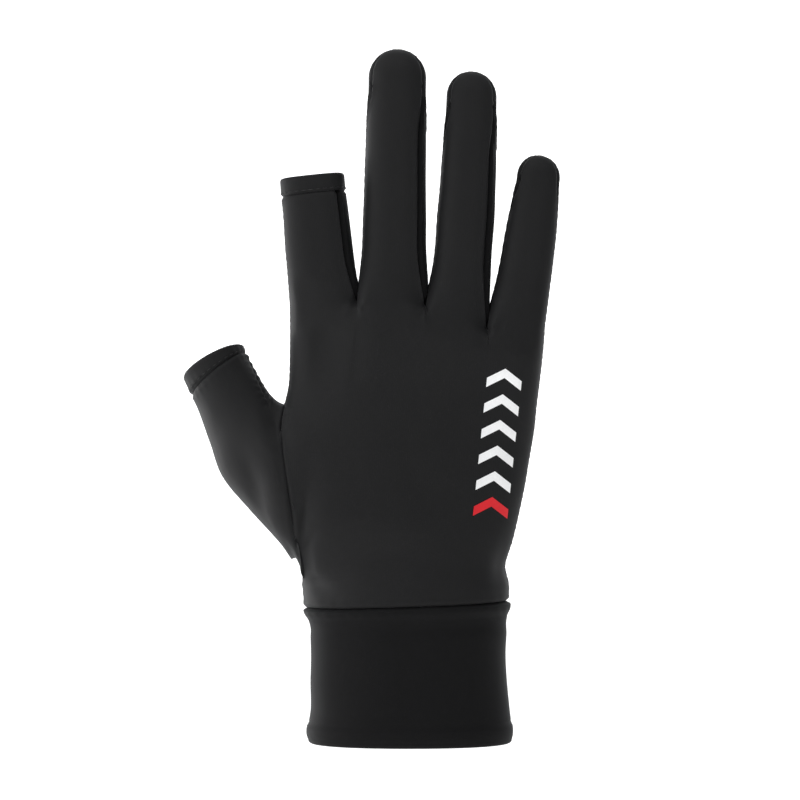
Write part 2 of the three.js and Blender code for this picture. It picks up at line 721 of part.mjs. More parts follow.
// Materials: a smooth elastic knit, a little darker where it is doubled or lies in shade
const knit = (name, color, roughness) => {
  const material = new THREE.MeshStandardMaterial({ color, roughness, metalness: 0 });
  material.name = name;
  return material;
};

const glove = new THREE.Group();
function add(name, geometry, material) {
  const mesh = new THREE.Mesh(geometry, material);
  mesh.name = name;
  glove.add(mesh);
}

add("back_panel", shell("back_panel", fabric), knit("back_knit", 0x252526, 0.62));
add("palm_panel", shell("palm_panel", fabric), knit("palm_knit", 0x222223, 0.7));
crotches.slice(1, -1).forEach(({ name }) => {
  const panel = `fourchette_${name}`;
  add(panel, shell(panel, fabric), knit(`knit_of_${panel}`, 0x1e1e1f, 0.66));
});
add("thumb_panel", shell("thumb_panel", fabric), knit("thumb_knit", 0x252526, 0.62));
add("index_hem", shell("index_hem", hemWall), knit("index_hem_knit", 0x242425, 0.64));
add("thumb_hem", shell("thumb_hem", hemWall), knit("thumb_hem_knit", 0x242425, 0.64));
add("cuff", cuffGeometry(), knit("cuff_knit", 0x1c1c1d, 0.72));

export default glove;
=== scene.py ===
# %% [markdown]
# # A fishing glove, sewn from knit and drawn from its net
#
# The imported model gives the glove's place, size and pieces. Here each of its nine pieces gets the cloth
# that it is made of: walls with rounded folds, sewn seams that sink in and pucker, a fine knit, and
# stitches. The glove keeps the form of a worn right hand, with its back towards the camera.

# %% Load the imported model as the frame
import math

import bpy
import numpy as np
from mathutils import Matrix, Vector, noise
from mathutils.bvhtree import BVHTree
from mathutils.kdtree import KDTree


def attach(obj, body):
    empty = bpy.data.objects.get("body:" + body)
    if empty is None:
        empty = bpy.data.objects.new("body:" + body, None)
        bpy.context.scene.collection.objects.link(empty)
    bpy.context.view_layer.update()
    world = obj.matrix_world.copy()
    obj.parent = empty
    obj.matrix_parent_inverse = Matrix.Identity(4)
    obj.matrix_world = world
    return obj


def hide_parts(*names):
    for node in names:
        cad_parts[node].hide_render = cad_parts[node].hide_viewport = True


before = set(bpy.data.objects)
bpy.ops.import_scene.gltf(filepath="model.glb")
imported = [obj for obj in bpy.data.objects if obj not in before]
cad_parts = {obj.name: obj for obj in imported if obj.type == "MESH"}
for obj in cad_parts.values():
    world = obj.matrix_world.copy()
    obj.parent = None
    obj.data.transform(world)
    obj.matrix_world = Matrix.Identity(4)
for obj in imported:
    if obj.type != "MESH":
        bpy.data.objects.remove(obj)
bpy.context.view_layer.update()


def add_object(name, data):
    made = bpy.data.objects.new(name, data)
    bpy.context.scene.collection.objects.link(made)
    return made


print("pieces of the frame:", sorted(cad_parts))

# %% [markdown]
# ## The camera
# It looks straight at the back of the hand, a metre away. A frame of 800 pixels spans 267 mm there, so
# that three pixels are one millimetre.

# %% Set the camera
CAMERA_DISTANCE = 1.0
FRAME_MIDDLE = (-0.003, 0.114)  # across and up
LENS, SENSOR = 135, 36  # millimetres

camera_data = bpy.data.cameras.new("camera")
camera_data.lens, camera_data.sensor_width = LENS, SENSOR
camera_data.clip_start, camera_data.clip_end = 0.01, 50
camera = add_object("camera", camera_data)
camera.location = (FRAME_MIDDLE[0], -CAMERA_DISTANCE, FRAME_MIDDLE[1])
camera.rotation_euler = (math.pi / 2, 0, 0)
bpy.context.scene.camera = camera
print("frame width in mm:", round(1000 * CAMERA_DISTANCE * SENSOR / LENS, 1))

# %% [markdown]
# ## The glove's sizes
# All are in millimetres and degrees. The tables hold shares of these sizes, so one row says how the
# glove is cut at one height.

# %% Sizes of the glove
CUFF_HEIGHT, CUFF_WALL, RIM_ROLL, SEAM_TILT = 46.0, 2.0, 0.7, 2.2
WRIST_BREADTH, WRIST_DEPTH = 67.4, 42.0
PALM_LENGTH, PALM_BREADTH, KNUCKLE_DEPTH = 103.5, 85.0, 24.0
THUMB_LENGTH, THUMB_BREADTH, THUMB_LEAN, THUMB_FORWARD = 51.7, 22.4, 32.0, 7.0
THENAR_INSET = 12.0
INDEX_HEM, THUMB_HEM, HEM_WALL, FABRIC = 6.0, 4.8, 1.9, 1.2
SEAM_GAP = 0.14
WEB_DROP, PALM_DROP = 3.6, 0.45
FINGER_ROUNDNESS, SQUARENESS = 0.9, 2.9
HOLE_FOOT, HOLE_WEB = 0.094, 0.635
STRIP_TAPER, STRIP_END = 0.6, 0.84  # shares of a finger's length
FOOT_BLEND = 15.0
TINY = 1e-6

HAND_ROWS = dict(
    height=(0, 0.05, 0.115, 0.2, 0.3, 0.42, 0.55, 0.635, 0.72, 0.86, 1),
    to_palm=(0, 0.03, 0.02, 0.24, 0.44, 0.69, 0.9, 0.91, 0.89, 0.95, 1.02),
    centre=(-0.012, -0.012, -0.025, -0.019, -0.012, -0.008, -0.005, 0.006, 0.022, 0.031, 0.037),
    to_knuckle=(0, 0.06, 0.16, 0.28, 0.42, 0.58, 0.74, 0.83, 0.9, 0.97, 1),
)
CROTCHES = [
    dict(name="outer_index", height=0.966),
    dict(name="index_middle", across=-0.198, height=1.002, drop=0.9, shift=0),
    dict(name="middle_ring", across=0.0785, height=0.998, drop=0.95, shift=-0.35),
    dict(name="ring_little", across=0.314, height=0.938, drop=1.5, shift=-0.2),
    dict(name="outer_little", height=0.9),
]
FINGERS = [
    dict(name="index", length=41.0, lean=-6, bow=0, curl=0.03, left_seam=0),
    dict(name="middle", length=81.4, lean=0.95, bow=0, curl=0.05, left_seam=-4),
    dict(name="ring", length=77.5, lean=3.3, bow=0.01, curl=0.055, left_seam=-4),
    dict(name="little", length=54.9, lean=8.6, bow=0.012, curl=0.06, left_seam=8),
]
FINGER_BREADTHS = dict(
    place=(0, 0.2, 0.5, 0.84),
    index=(0.985, 0.975, 0.955, 0.92),
    middle=(0.97, 0.875, 0.835, 0.8),
    ring=(0.97, 0.92, 0.89, 0.81),
    little=(0.98, 0.94, 0.885, 0.745),
)
SEAMS = dict(right=47, behind_right=-38, behind_left=-46, tip=36, side=0)
THUMB_RINGS = dict(
    ring=(0, 0.15, 0.33, 0.5, 0.67, 0.84, 1),
    outer_up=(-0.487, -0.248, 0.06, 0.33, 0.56, 0.79, 1.01),
    outer_side=(0.55, 0.54, 0.68, 0.768, 0.665, 0.553, 0.495),
    inner_up=(0.487, 0.56, 0.64, 0.73, 0.815, 0.9, 0.992),
    inner_side=(-0.569, -0.5, -0.462, -0.455, -0.46, -0.47, -0.5),
    depth=(1.12, 1.14, 1.13, 1.08, 1.02, 0.95, 0.9),
    slant=(0, 0, 0, 0, 0.02, 0.06, 0.11),
)
CUFF_ROWS = dict(
    height=(0, 0.08, 0.25, 0.45, 0.63, 0.8, 0.91, 1),
    breadth=(0.99, 1.014, 0.985, 0.972, 0.963, 0.972, 0.985, 1),
    depth=(0.99, 1.01, 0.985, 0.965, 0.96, 0.965, 0.985, 1),
    shift=(0.006, 0.003, 0.004, -0.003, -0.004, -0.003, -0.006, -0.012),
)
middle_tip = CUFF_HEIGHT + PALM_LENGTH * CROTCHES[1]["height"] + FINGERS[1]["length"]
print("tip of the middle finger at", round(middle_tip, 1), "mm")

# %% [markdown]
# Dents are the broad hollows and swells that the frame has too, and folds are finer. Each row gives a
# dent's middle in millimetres (x across, z up), its half length and half width, its turn from upright
# in degrees, and its depth. A swell has a depth below nought.

# %% Dents and folds
def dent_table(*rows):
    names = ("x", "z", "length", "width", "turn", "deep")
    return [dict(zip(names, row)) for row in rows]


DENTS = dent_table(
    (-34.0, 71.9, 17.0, 4.25, 4, 1.32),
    (-44.2, 80.2, 18.7, 7.65, 8, -1.08),
    (-51.5, 86.0, 14.0, 5.5, -24, 2.2),
    (-45.1, 107.1, 8.5, 3.0, -38, 1.08),
    (31.5, 59.5, 6.0, 3.4, 10, 1.44),
    (-30.6, 53.2, 6.8, 3.4, -60, 0.96),
    (-16.8, 144.3, 4.25, 3.4, 0, 0.35),
    (4.7, 143.8, 4.25, 3.4, 0, 0.35),
    (25.9, 136.0, 4.25, 3.4, 0, 0.35),
)
FOLDS = dent_table(
    (-18.2, 146.6, 1.6, 0.8, -8, 0.5),
    (-16.3, 145.0, 2.2, 0.6, -24, -0.28),
    (-15.4, 143.6, 1.9, 0.6, 38, 0.34),
    (-19.8, 144.6, 2.4, 0.7, 30, -0.2),
    (5.4, 145.2, 1.4, 0.7, 0, 0.45),
    (4.9, 143.0, 0.6, 2.0, 4, -0.24),
    (4.6, 141.9, 0.6, 1.6, 0, 0.3),
    (7.6, 144.4, 2.2, 0.6, -34, -0.18),
    (26.4, 136.8, 1.7, 0.8, -4, 0.5),
    (26.3, 134.4, 0.6, 2.4, 24, -0.28),
    (29.6, 137.6, 2.2, 0.6, 18, 0.36),
    (28.3, 136.0, 2.4, 0.6, -30, -0.22),
    (-43.9, 107.0, 5.0, 2.4, -12, 0.85),
    (-46.2, 104.0, 5.0, 2.0, -30, 0.4),
    (-47.2, 99.6, 6.0, 1.8, -34, -0.3),
    (-52.8, 86.5, 11.0, 4.2, -24, -1.1),
    (-34.4, 74.0, 6.4, 1.5, 8, 0.75),
    (-32.0, 68.0, 3.4, 1.4, 38, 0.5),
    (32.6, 55.0, 4.4, 0.9, -12, 1.1),
    (33.4, 62.5, 3.0, 3.0, 0, -0.7),
)
print(len(DENTS), "dents and", len(FOLDS), "finer folds")

# %% [markdown]
# ## Curves and the net
# `along` reads one column of a table on a smooth curve through its rows. The net holds all the glove's
# points, and its cells are grouped by the piece of cloth that they belong to. Neighbouring pieces share
# the points of their seam.

# %% Curves through the tables
def mix(a, b, share):
    return a + (b - a) * share


def smooth(start, end, at):
    t = np.clip((np.asarray(at, float) - start) / (end - start), 0, 1)
    return t * t * (3 - 2 * t)


def fade(start, end, at):
    return 1 - smooth(start, end, at)


def bell(at, middle, width):
    return np.exp(-((at - middle) / width) ** 2)


def half_wave(share):
    """From nought to one, slowly at both ends."""
    return (1 - np.cos(np.pi * share)) / 2


def unit(vector):
    return vector / max(np.linalg.norm(vector), 1e-9)


def along(rows, place, column, at):
    xs, ys = np.array(rows[place], float), np.array(rows[column], float)
    last = len(xs) - 1
    here = np.clip(np.asarray(at, float), xs[0], xs[-1])
    low = np.clip(np.searchsorted(xs, here, side="left") - 1, 0, last - 1)

    def slope(i):
        a, b = np.maximum(i - 1, 0), np.minimum(i + 1, last)
        return (ys[b] - ys[a]) / (xs[b] - xs[a])

    span = xs[low + 1] - xs[low]
    t = (here - xs[low]) / span
    bend = t * (1 - t)
    line = mix(ys[low], ys[low + 1], t * t * (3 - 2 * t))
    return line + bend * span * ((1 - t) * slope(low) - t * slope(low + 1))


print("hand breadth halfway up, as a share:", round(float(along(HAND_ROWS, "height", "to_palm", 0.5)), 3))

# %% The net of points and cells
class Net:
    """Points of the glove's outer face, and the cells of each piece of cloth."""

    def __init__(self):
        self.blocks, self.count = [], 0
        self.cells, self.knit = {}, {}

    def add(self, points):
        points = np.atleast_2d(points)
        self.blocks.append(points)
        ids = np.arange(self.count, self.count + len(points))
        self.count += len(points)
        return ids

    def points(self):
        self.blocks = [np.concatenate(self.blocks)]
        return self.blocks[0]

    def band(self, panel, lower, upper):
        """Cells between two rows of points that run the same way."""
        quads = np.stack([lower[:-1], lower[1:], upper[1:], upper[:-1]], axis=1)
        self.cells.setdefault(panel, []).append(quads)

    def lay(self, panel, ids, u, v):
        """Where these points lie in the panel's flat knit, in millimetres."""
        places = (np.broadcast_to(u, len(ids)), np.broadcast_to(v, len(ids)))
        self.knit.setdefault(panel, []).append((ids, *places))


net = Net()
FINGER_COLUMNS, STRIP_COLUMNS = 28, 8
ROW = 1.0  # height of a finger's row
print("an empty net")

# %% [markdown]
# ## The hand's section
# The hand is a flattened oval from the wrist to the knuckles. Where the thumb's hole opens, the oval
# stops short of its side.

# %% The hand's section
OVAL_POWER = 2.3
HOLE_CUT = {-1: 0.2, 1: 0.17}


def oval(share):
    return np.maximum(1 - np.abs(2 * share - 1) ** OVAL_POWER, 0) ** (1 / OVAL_POWER)


def height_z(height):
    return CUFF_HEIGHT + height * PALM_LENGTH


def hand_breadth(height):
    breadth = mix(WRIST_BREADTH, PALM_BREADTH, along(HAND_ROWS, "height", "to_palm", height))
    centre = PALM_BREADTH * along(HAND_ROWS, "height", "centre", height)
    return centre - breadth / 2, centre + breadth / 2


def hand_depth(height):
    return mix(WRIST_DEPTH, KNUCKLE_DEPTH, along(HAND_ROWS, "height", "to_knuckle", height))


def hole_open(height):
    share = (height - HOLE_FOOT) / (HOLE_WEB - HOLE_FOOT)
    return np.maximum(0, 4 * share * (1 - share))


def hand_point(side, share, height):
    left, right = hand_breadth(height)
    opened = hole_open(height)
    start = left + (THENAR_INSET * opened if side > 0 else 0)
    round_ = oval(mix(opened * HOLE_CUT[side], 1, share))
    return mix(start, right, share), side * hand_depth(height) * round_ / 2


print("hand breadth at the knuckles:", [round(float(x), 1) for x in hand_breadth(0.95)])

# %% [markdown]
# ## The fingers
# A finger is a stack of rings. Each ring runs across the back, down the strip at its right, over the
# palm side and up the strip at its left. The strips narrow towards the tip and end in a point.

# %% The shape of one finger
def crotch_point(index):
    crotch = CROTCHES[index]
    if "across" in crotch:
        x = crotch["across"] * PALM_BREADTH
    else:
        x = float(hand_breadth(crotch["height"])[0 if index == 0 else 1])
    return np.array([x, 0, height_z(crotch["height"])])


def finger_frame(index):
    finger = dict(FINGERS[index])
    left, right = crotch_point(index), crotch_point(index + 1)
    lean = math.radians(finger["lean"])
    finger.update(
        foot=(left + right) / 2,
        up=np.array([math.sin(lean), 0, math.cos(lean)]),
        aside=np.array([math.cos(lean), 0, -math.sin(lean)]),
        space=right[0] - left[0],
        open=finger["name"] == "index",
        left_strip=index > 0,
        right_strip=index < len(FINGERS) - 1,
    )
    finger["tip_radius"] = half_breadth(finger, 1)
    return finger


def half_breadth(finger, share):
    return finger["space"] * float(along(FINGER_BREADTHS, "place", finger["name"], share)) / 2


def seam_angles(finger, share):
    taper = 1.0 if finger["open"] else float(fade(STRIP_TAPER, STRIP_END, share))
    side = mix(SEAMS["side"], SEAMS["tip"], float(smooth(0.5, 0.9, share)))
    tip = SEAMS["tip"]
    bare = 0 if finger["open"] else side
    left, right = finger["left_strip"], finger["right_strip"]
    return dict(
        back_right=mix(tip, SEAMS["right"], taper) if right else side,
        palm_right=mix(tip, SEAMS["behind_right"], taper) if right else side,
        back_left=180 - (mix(tip, finger["left_seam"], taper) if left else bare),
        palm_left=180 - (mix(tip, SEAMS["behind_left"], taper) if left else bare),
    )


def finger_points(finger, reach, close, angles):
    share = reach / finger["length"]
    half = finger["tip_radius"] * close if close < 1 else half_breadth(finger, share)
    turn = np.radians(angles)
    bow = finger["bow"] * finger["length"] * 4 * share * (1 - share)
    square = np.abs(np.cos(turn)) ** SQUARENESS + np.abs(np.sin(turn)) ** SQUARENESS
    far = square ** (-1 / SQUARENESS)
    deep = half * close ** -0.35 if close < 1 else half
    place = finger["foot"] + reach * finger["up"]
    place = place + np.outer(half * far * np.cos(turn) + bow, finger["aside"])
    place[:, 1] += finger["curl"] * finger["length"] * share**2 - deep * far * FINGER_ROUNDNESS * np.sin(turn)
    return place


def dense_ends(count):
    """Shares from nought to one that lie closer together near both ends."""
    even = np.linspace(0, 1, count + 1)
    return mix(even, half_wave(even), 0.6)


ACROSS = dense_ends(FINGER_COLUMNS)
DOWN = dense_ends(STRIP_COLUMNS)


def ring_angles(angles):
    return dict(
        back=mix(angles["back_left"], angles["back_right"], ACROSS),
        right=mix(angles["back_right"], angles["palm_right"], DOWN),
        palm=mix(angles["palm_left"], angles["palm_right"] + 360, ACROSS)[::-1],
        left=mix(angles["palm_left"], angles["back_left"], DOWN),
    )


FRAMES = [finger_frame(index) for index in range(len(FINGERS))]
print("tip radii:", [round(f["tip_radius"], 2) for f in FRAMES])

# %% Webs between the fingers, and the feet of the fingers on them
def web_ids(index):
    ridge = crotch_point(index)
    if index in (0, len(CROTCHES) - 1):
        return net.add(ridge)
    crotch = CROTCHES[index]
    arch = 4 * DOWN * (1 - DOWN)
    drop = mix(crotch["drop"], PALM_DROP, DOWN) * (1 - arch) * WEB_DROP
    x = ridge[0] + crotch["shift"] * WEB_DROP * (1 - DOWN)
    y = mix(-0.62, 0.62, DOWN) * float(hand_depth(crotch["height"])) / 2
    return net.add(np.stack([x, y, ridge[2] - drop], axis=1))


def foot_row(finger, angles, ends):
    at = finger_points(finger, 0.0, 1, angles)
    points = net.points()
    start, end = points[ends[0]] - at[0], points[ends[1]] - at[-1]
    inner = at + np.outer(1 - ACROSS, start) + np.outer(ACROSS, end)
    middle = net.add(inner[1:-1])
    return np.concatenate([[ends[0]], middle, [ends[1]]])


WEBS = [web_ids(index) for index in range(len(CROTCHES))]
FEET = []
for index, finger in enumerate(FRAMES):
    angles = ring_angles(seam_angles(finger, 0))
    left, right = WEBS[index], WEBS[index + 1]
    back = foot_row(finger, angles["back"], (left[0], right[0]))
    palm = foot_row(finger, angles["palm"][::-1], (left[-1], right[-1]))
    FEET.append(dict(back=back, right=right, palm=palm[::-1], left=left[::-1]))
print("points so far:", net.count)

# %% Grow the fingers ring by ring
RING_ROWS = {}


def finger_rows(finger):
    straight = finger["length"] - (INDEX_HEM if finger["open"] else finger["tip_radius"])
    count = round(straight / ROW)
    rows = [(straight * (i / count) ** 1.12, 1.0, False) for i in range(1, count + 1)]
    if finger["open"]:
        return rows + [(straight + INDEX_HEM * i / 7, 1.0, True) for i in range(1, 8)]
    radius = finger["tip_radius"]
    caps = np.radians(np.linspace(0, 90, 14)[1:-1])
    return rows + [(straight + radius * math.sin(a), math.cos(a), False) for a in caps]


def grow_finger(index):
    finger = FRAMES[index]
    before, after = (f"fourchette_{CROTCHES[i]['name']}" for i in (index, index + 1))
    panels = dict(back="back_panel", right=after, palm="palm_panel", left=before)
    below = FEET[index]
    start = ring_angles(seam_angles(finger, 0))
    points = net.points()
    offsets = {part: points[ids] - finger_points(finger, 0.0, 1, start[part])
               for part, ids in below.items() if len(ids) > 1}
    rings = [(0.0, below)]
    for reach, close, hem in finger_rows(finger):
        share = reach / finger["length"]
        angles = ring_angles(seam_angles(finger, share))
        kept = max(0.0, 1 - reach / FOOT_BLEND) ** 2
        merged = not finger["open"] and share >= STRIP_END

        def place(part):
            return finger_points(finger, reach, close, angles[part]) + offsets[part] * kept

        back = net.add(place("back"))
        palm = place("palm")
        lone_right = merged or not finger["right_strip"]
        lone_left = merged or not finger["left_strip"]
        inner = net.add(palm[1:-1])
        first = [back[-1]] if lone_right else net.add(palm[:1])
        last = [back[0]] if lone_left else net.add(palm[-1:])
        palm_ids = np.concatenate([first, inner, last]).astype(int)
        ring = dict(back=back, palm=palm_ids)
        for side, edge in (("right", -1), ("left", 0)):
            if finger[side + "_strip"]:
                ring[side] = np.full(STRIP_COLUMNS + 1, back[edge])
                if not merged:
                    ring[side][1:-1] = net.add(place(side)[1:-1])
                    ring[side][edge] = palm_ids[-1 - edge]
        for part, ids in ring.items():
            net.band("index_hem" if hem else panels[part], below[part], ids)
        below = ring
        rings.append((reach, ring))
    if not finger["open"]:
        tip = net.add(finger_points(finger, finger["length"], 0.0001, [0.0]))
        for part in ("back", "palm"):
            net.band(panels[part], below[part], np.repeat(tip, len(below[part])))
        rings.append((finger["length"], {part: np.repeat(tip, len(ids)) for part, ids in below.items()}))
    RING_ROWS[index] = rings


for index in range(len(FINGERS)):
    grow_finger(index)
print("points with the fingers:", net.count)

# %% [markdown]
# ## The hand and the thumb
# Rows of the hand run from the cuff's seam up to the feet of the fingers. Beside the thumb's hole the
# back and the palm side part, and the thumb's rings start on that hole's edge.

# %% The rows of the hand
WRIST_ROWS, HOLE_ROWS, KNUCKLE_ROWS = 11, 50, 32
HAND_TOP = {
    part: np.concatenate([foot[part] if i == 0 else foot[part][1:] for i, foot in enumerate(
        [dict(back=f["back"], palm=f["palm"][::-1]) for f in FEET])])
    for part in ("back", "palm")
}
TOP_HEIGHT = CROTCHES[0]["height"]
low = HOLE_FOOT * (np.arange(WRIST_ROWS) / WRIST_ROWS) ** 1.25
beside = mix(HOLE_FOOT, HOLE_WEB, np.arange(HOLE_ROWS) / HOLE_ROWS)
above = mix(HOLE_WEB, TOP_HEIGHT, np.arange(KNUCKLE_ROWS) / KNUCKLE_ROWS)
ROW_HEIGHTS = np.concatenate([low, beside, above])
COLUMNS = len(HAND_TOP["back"]) - 1


def crest_line(part, axis):
    """One coordinate of the line that joins the fingers' crests, over the columns of the top row."""
    top = net.points()[HAND_TOP[part]]
    across, values = top[:, 0], top[:, axis].copy()
    crests = [round((finger + 0.5) * FINGER_COLUMNS) for finger in range(len(FINGERS))]
    for low, high in zip(crests, crests[1:]):
        share = smooth(0, 1, (across[low:high + 1] - across[low]) / (across[high] - across[low]))
        values[low:high + 1] = mix(values[low], values[high], share)
    return values


CREST_DEPTHS = {part: crest_line(part, 1) for part in ("back", "palm")}
CREST_HEIGHTS = {part: crest_line(part, 2) for part in ("back", "palm")}


def hand_row(height):
    share = height / TOP_HEIGHT
    parting = float(smooth(0.965, 1, share))
    opened = float(hole_open(height)) > TINY
    points = net.points()
    row = {}
    for part, side in (("back", -1), ("palm", 1)):
        top = points[HAND_TOP[part]]
        top_height = (top[:, 2] - CUFF_HEIGHT) / PALM_LENGTH
        left, right = hand_breadth(top_height)
        top_share = (top[:, 0] - left) / (right - left)
        wrist_share = half_wave(np.arange(COLUMNS + 1) / COLUMNS)
        across = mix(wrist_share, top_share, share)
        x, y = hand_point(side, across, top_height * share)
        tilt = SEAM_TILT * (across - 0.5) * (1 - share)
        z = mix(CUFF_HEIGHT + SEAM_GAP / 2, top[:, 2], share) + tilt
        level = smooth(0.55, 0.95, (z - tilt - CUFF_HEIGHT) / (CREST_HEIGHTS[part] - CUFF_HEIGHT))
        y = mix(mix(y, CREST_DEPTHS[part], level), top[:, 1], parting)
        row[part] = np.stack([x, y, z], axis=1)
    back = net.add(row["back"])
    inner = net.add(row["palm"][1:-1])
    first = net.add(row["palm"][:1]) if opened else [back[0]]
    return dict(back=back, palm=np.concatenate([first, inner, [back[-1]]]).astype(int))


HAND_NET = [hand_row(height) for height in ROW_HEIGHTS] + [HAND_TOP]
for lower, upper in zip(HAND_NET, HAND_NET[1:]):
    net.band("back_panel", lower["back"], upper["back"])
    net.band("palm_panel", lower["palm"][::-1], upper["palm"][::-1])
print("rows of the hand:", len(HAND_NET))

# %% The thumb grows out of its hole
HOLE_IDS = np.array(
    [HAND_NET[i]["back"][0] for i in range(WRIST_ROWS, WRIST_ROWS + HOLE_ROWS + 1)]
    + [HAND_NET[i]["palm"][0] for i in range(WRIST_ROWS + HOLE_ROWS - 1, WRIST_ROWS, -1)]
)
LEAN_SINE, LEAN_COSINE = math.sin(math.radians(THUMB_LEAN)), math.cos(math.radians(THUMB_LEAN))
THUMB_UP = np.array([-LEAN_SINE, 0, LEAN_COSINE])
THUMB_OUT = np.array([-LEAN_COSINE, 0, -LEAN_SINE])
HOLE_MIDDLE = (net.points()[HOLE_IDS[0]] + net.points()[HOLE_IDS[HOLE_ROWS]]) / 2
THUMB_ANGLES = np.pi * (1 - np.arange(len(HOLE_IDS)) / HOLE_ROWS)


def thumb_points(ring):
    def at(column):
        return float(along(THUMB_RINGS, "ring", column, ring))

    def edge(side):
        up = THUMB_UP * at(side + "_up") * THUMB_LENGTH
        return HOLE_MIDDLE + up + THUMB_OUT * at(side + "_side") * THUMB_BREADTH

    outer, inner = edge("outer"), edge("inner")
    place = outer + np.outer((1 + np.cos(THUMB_ANGLES)) / 2, inner - outer)
    place = place + np.outer(at("slant") * THUMB_BREADTH * np.sin(THUMB_ANGLES), THUMB_UP)
    forward = THUMB_FORWARD * float(smooth(0, 1, ring))
    place[:, 1] += forward - np.sin(THUMB_ANGLES) * at("depth") * THUMB_BREADTH / 2
    return place


hole_offsets = net.points()[HOLE_IDS] - thumb_points(0)
HEM_START = 1 - THUMB_HEM / THUMB_LENGTH
THUMB_ROWS, THUMB_HEM_ROWS = 58, 6
thumb_shares = [HEM_START * (i / THUMB_ROWS) ** 1.1 for i in range(1, THUMB_ROWS + 1)]
thumb_shares += [mix(HEM_START, 1, i / THUMB_HEM_ROWS) for i in range(1, THUMB_HEM_ROWS + 1)]
THUMB_NET = [(0.0, HOLE_IDS)]


def thumb_panel_at(ring):
    return "thumb_hem" if ring > HEM_START + TINY else "thumb_panel"


for ring in thumb_shares:
    kept = float(fade(0, 0.75, ring)) ** 1.3
    ids = net.add(thumb_points(ring) + hole_offsets * kept)
    below = THUMB_NET[-1][1]
    panel = thumb_panel_at(ring)
    net.band(panel, np.append(below, below[0]), np.append(ids, ids[0]))
    THUMB_NET.append((ring, ids))
print("points in all:", net.count, "cells:", {k: sum(map(len, v)) for k, v in net.cells.items()})

# %% [markdown]
# ## The flat knit
# Each panel remembers where its points lay in the flat cloth: across from the panel's middle and along
# the finger. The knit's pattern follows these places, so it runs up the fingers and round the thumb.

# %% Lay the panels out flat
def arc(points):
    steps = np.linalg.norm(np.diff(points, axis=0), axis=1)
    return np.concatenate([[0], np.cumsum(steps)])


def in_index_hem(finger, reach):
    return finger["open"] and reach > finger["length"] - INDEX_HEM + 0.01


PALM_APART, STRIP_APART = 60, 30  # places of the index fold's palm side and strip beside its back
POINTS = net.points().copy()
for part, panel in (("back", "back_panel"), ("palm", "palm_panel")):
    for row in HAND_NET:
        lengths = arc(POINTS[row[part]])
        net.lay(panel, row[part], lengths - lengths[COLUMNS // 2], POINTS[row[part]][:, 2])
    top = arc(POINTS[HAND_TOP[part]])
    top = top - top[COLUMNS // 2]
    for index, finger in enumerate(FRAMES):
        crest = top[index * FINGER_COLUMNS + FINGER_COLUMNS // 2]
        for reach, ring in RING_ROWS[index][1:]:
            ids = ring[part] if part == "back" else ring[part][::-1]
            lengths = arc(POINTS[ids])
            up = (POINTS[ids] - finger["foot"]) @ finger["up"] + finger["foot"][2]
            v = mix(POINTS[ids][:, 2], up, float(smooth(0, 12, reach)))
            hem = in_index_hem(finger, reach)
            u = lengths - lengths[FINGER_COLUMNS // 2] + crest
            net.lay("index_hem" if hem else panel, ids, u + (PALM_APART if part == "palm" and hem else 0), v)
for index, finger in enumerate(FRAMES):
    for part, crotch, sign in (("right", index + 1, 1), ("left", index, -1)):
        if part not in RING_ROWS[index][1][1]:
            continue
        for reach, ring in RING_ROWS[index]:
            ids = ring.get(part)
            if ids is None or len(ids) < 2 or ids[0] == ids[-1]:
                continue
            ordered = ids if part == "right" else ids[::-1]
            lengths = arc(POINTS[ordered])
            hem = in_index_hem(finger, reach)
            name = "index_hem" if hem else f"fourchette_{CROTCHES[crotch]['name']}"
            net.lay(name, ordered, lengths - lengths[-1] / 2 + (STRIP_APART if hem else 0), sign * reach)
for ring, ids in THUMB_NET:
    lengths = arc(POINTS[ids])
    along_thumb = (POINTS[ids] - HOLE_MIDDLE) @ THUMB_UP
    panels = {thumb_panel_at(ring)} | ({"thumb_hem"} if abs(ring - HEM_START) < TINY else set())
    for name in sorted(panels):
        net.lay(name, ids, lengths - lengths[HOLE_ROWS // 2], along_thumb)
print("panels laid flat:", sorted(net.knit))

# %% [markdown]
# ## Seams
# Wherever two panels meet there is a seam. It sinks in, the cloth beside it stands up a little over the
# edges sewn together inside, and the pull of the thread puckers it.

# %% Find the seams between the panels
def panel_quads(panel):
    return np.concatenate(net.cells[panel])


def edges_of(quads):
    pairs = np.concatenate([quads[:, [i, (i + 1) % 4]] for i in range(4)])
    return pairs[pairs[:, 0] != pairs[:, 1]]


def border_of(panel):
    """Edges that only one cell of the panel uses, in the cells' own direction."""
    pairs = edges_of(panel_quads(panel))
    keys = np.sort(pairs, axis=1)
    keys = keys[:, 0].astype(np.int64) * net.count + keys[:, 1]
    _, first, counts = np.unique(keys, return_index=True, return_counts=True)
    return pairs[first[counts == 1]], keys[first[counts == 1]]


BORDERS = {panel: border_of(panel) for panel in net.cells}
SEAM_STYLE = {
    "strip": dict(deep=0.85, wide=0.5, rise=0.3, pucker=0.06, wave=3.4),
    "side": dict(deep=0.6, wide=0.45, rise=0.08, pucker=0.07, wave=2.6),
    "hole": dict(deep=0.55, wide=0.5, rise=0.16, pucker=0.09, wave=4.2),
    "hem": dict(deep=0.62, wide=0.42, rise=0.06, pucker=0.1, wave=2.6),
    "thumb_strip": dict(deep=0.5, wide=0.45, rise=0.05, pucker=0.24, wave=2.5),
    "cuff": dict(deep=0.75, wide=0.55, rise=0.14, pucker=0.04, wave=5.0),
}


def seam_kind(a, b):
    names = a + b
    if "hem" in names:
        return "hem"
    if "thumb" in names:
        return "hole"
    return "strip" if "fourchette" in names else "side"


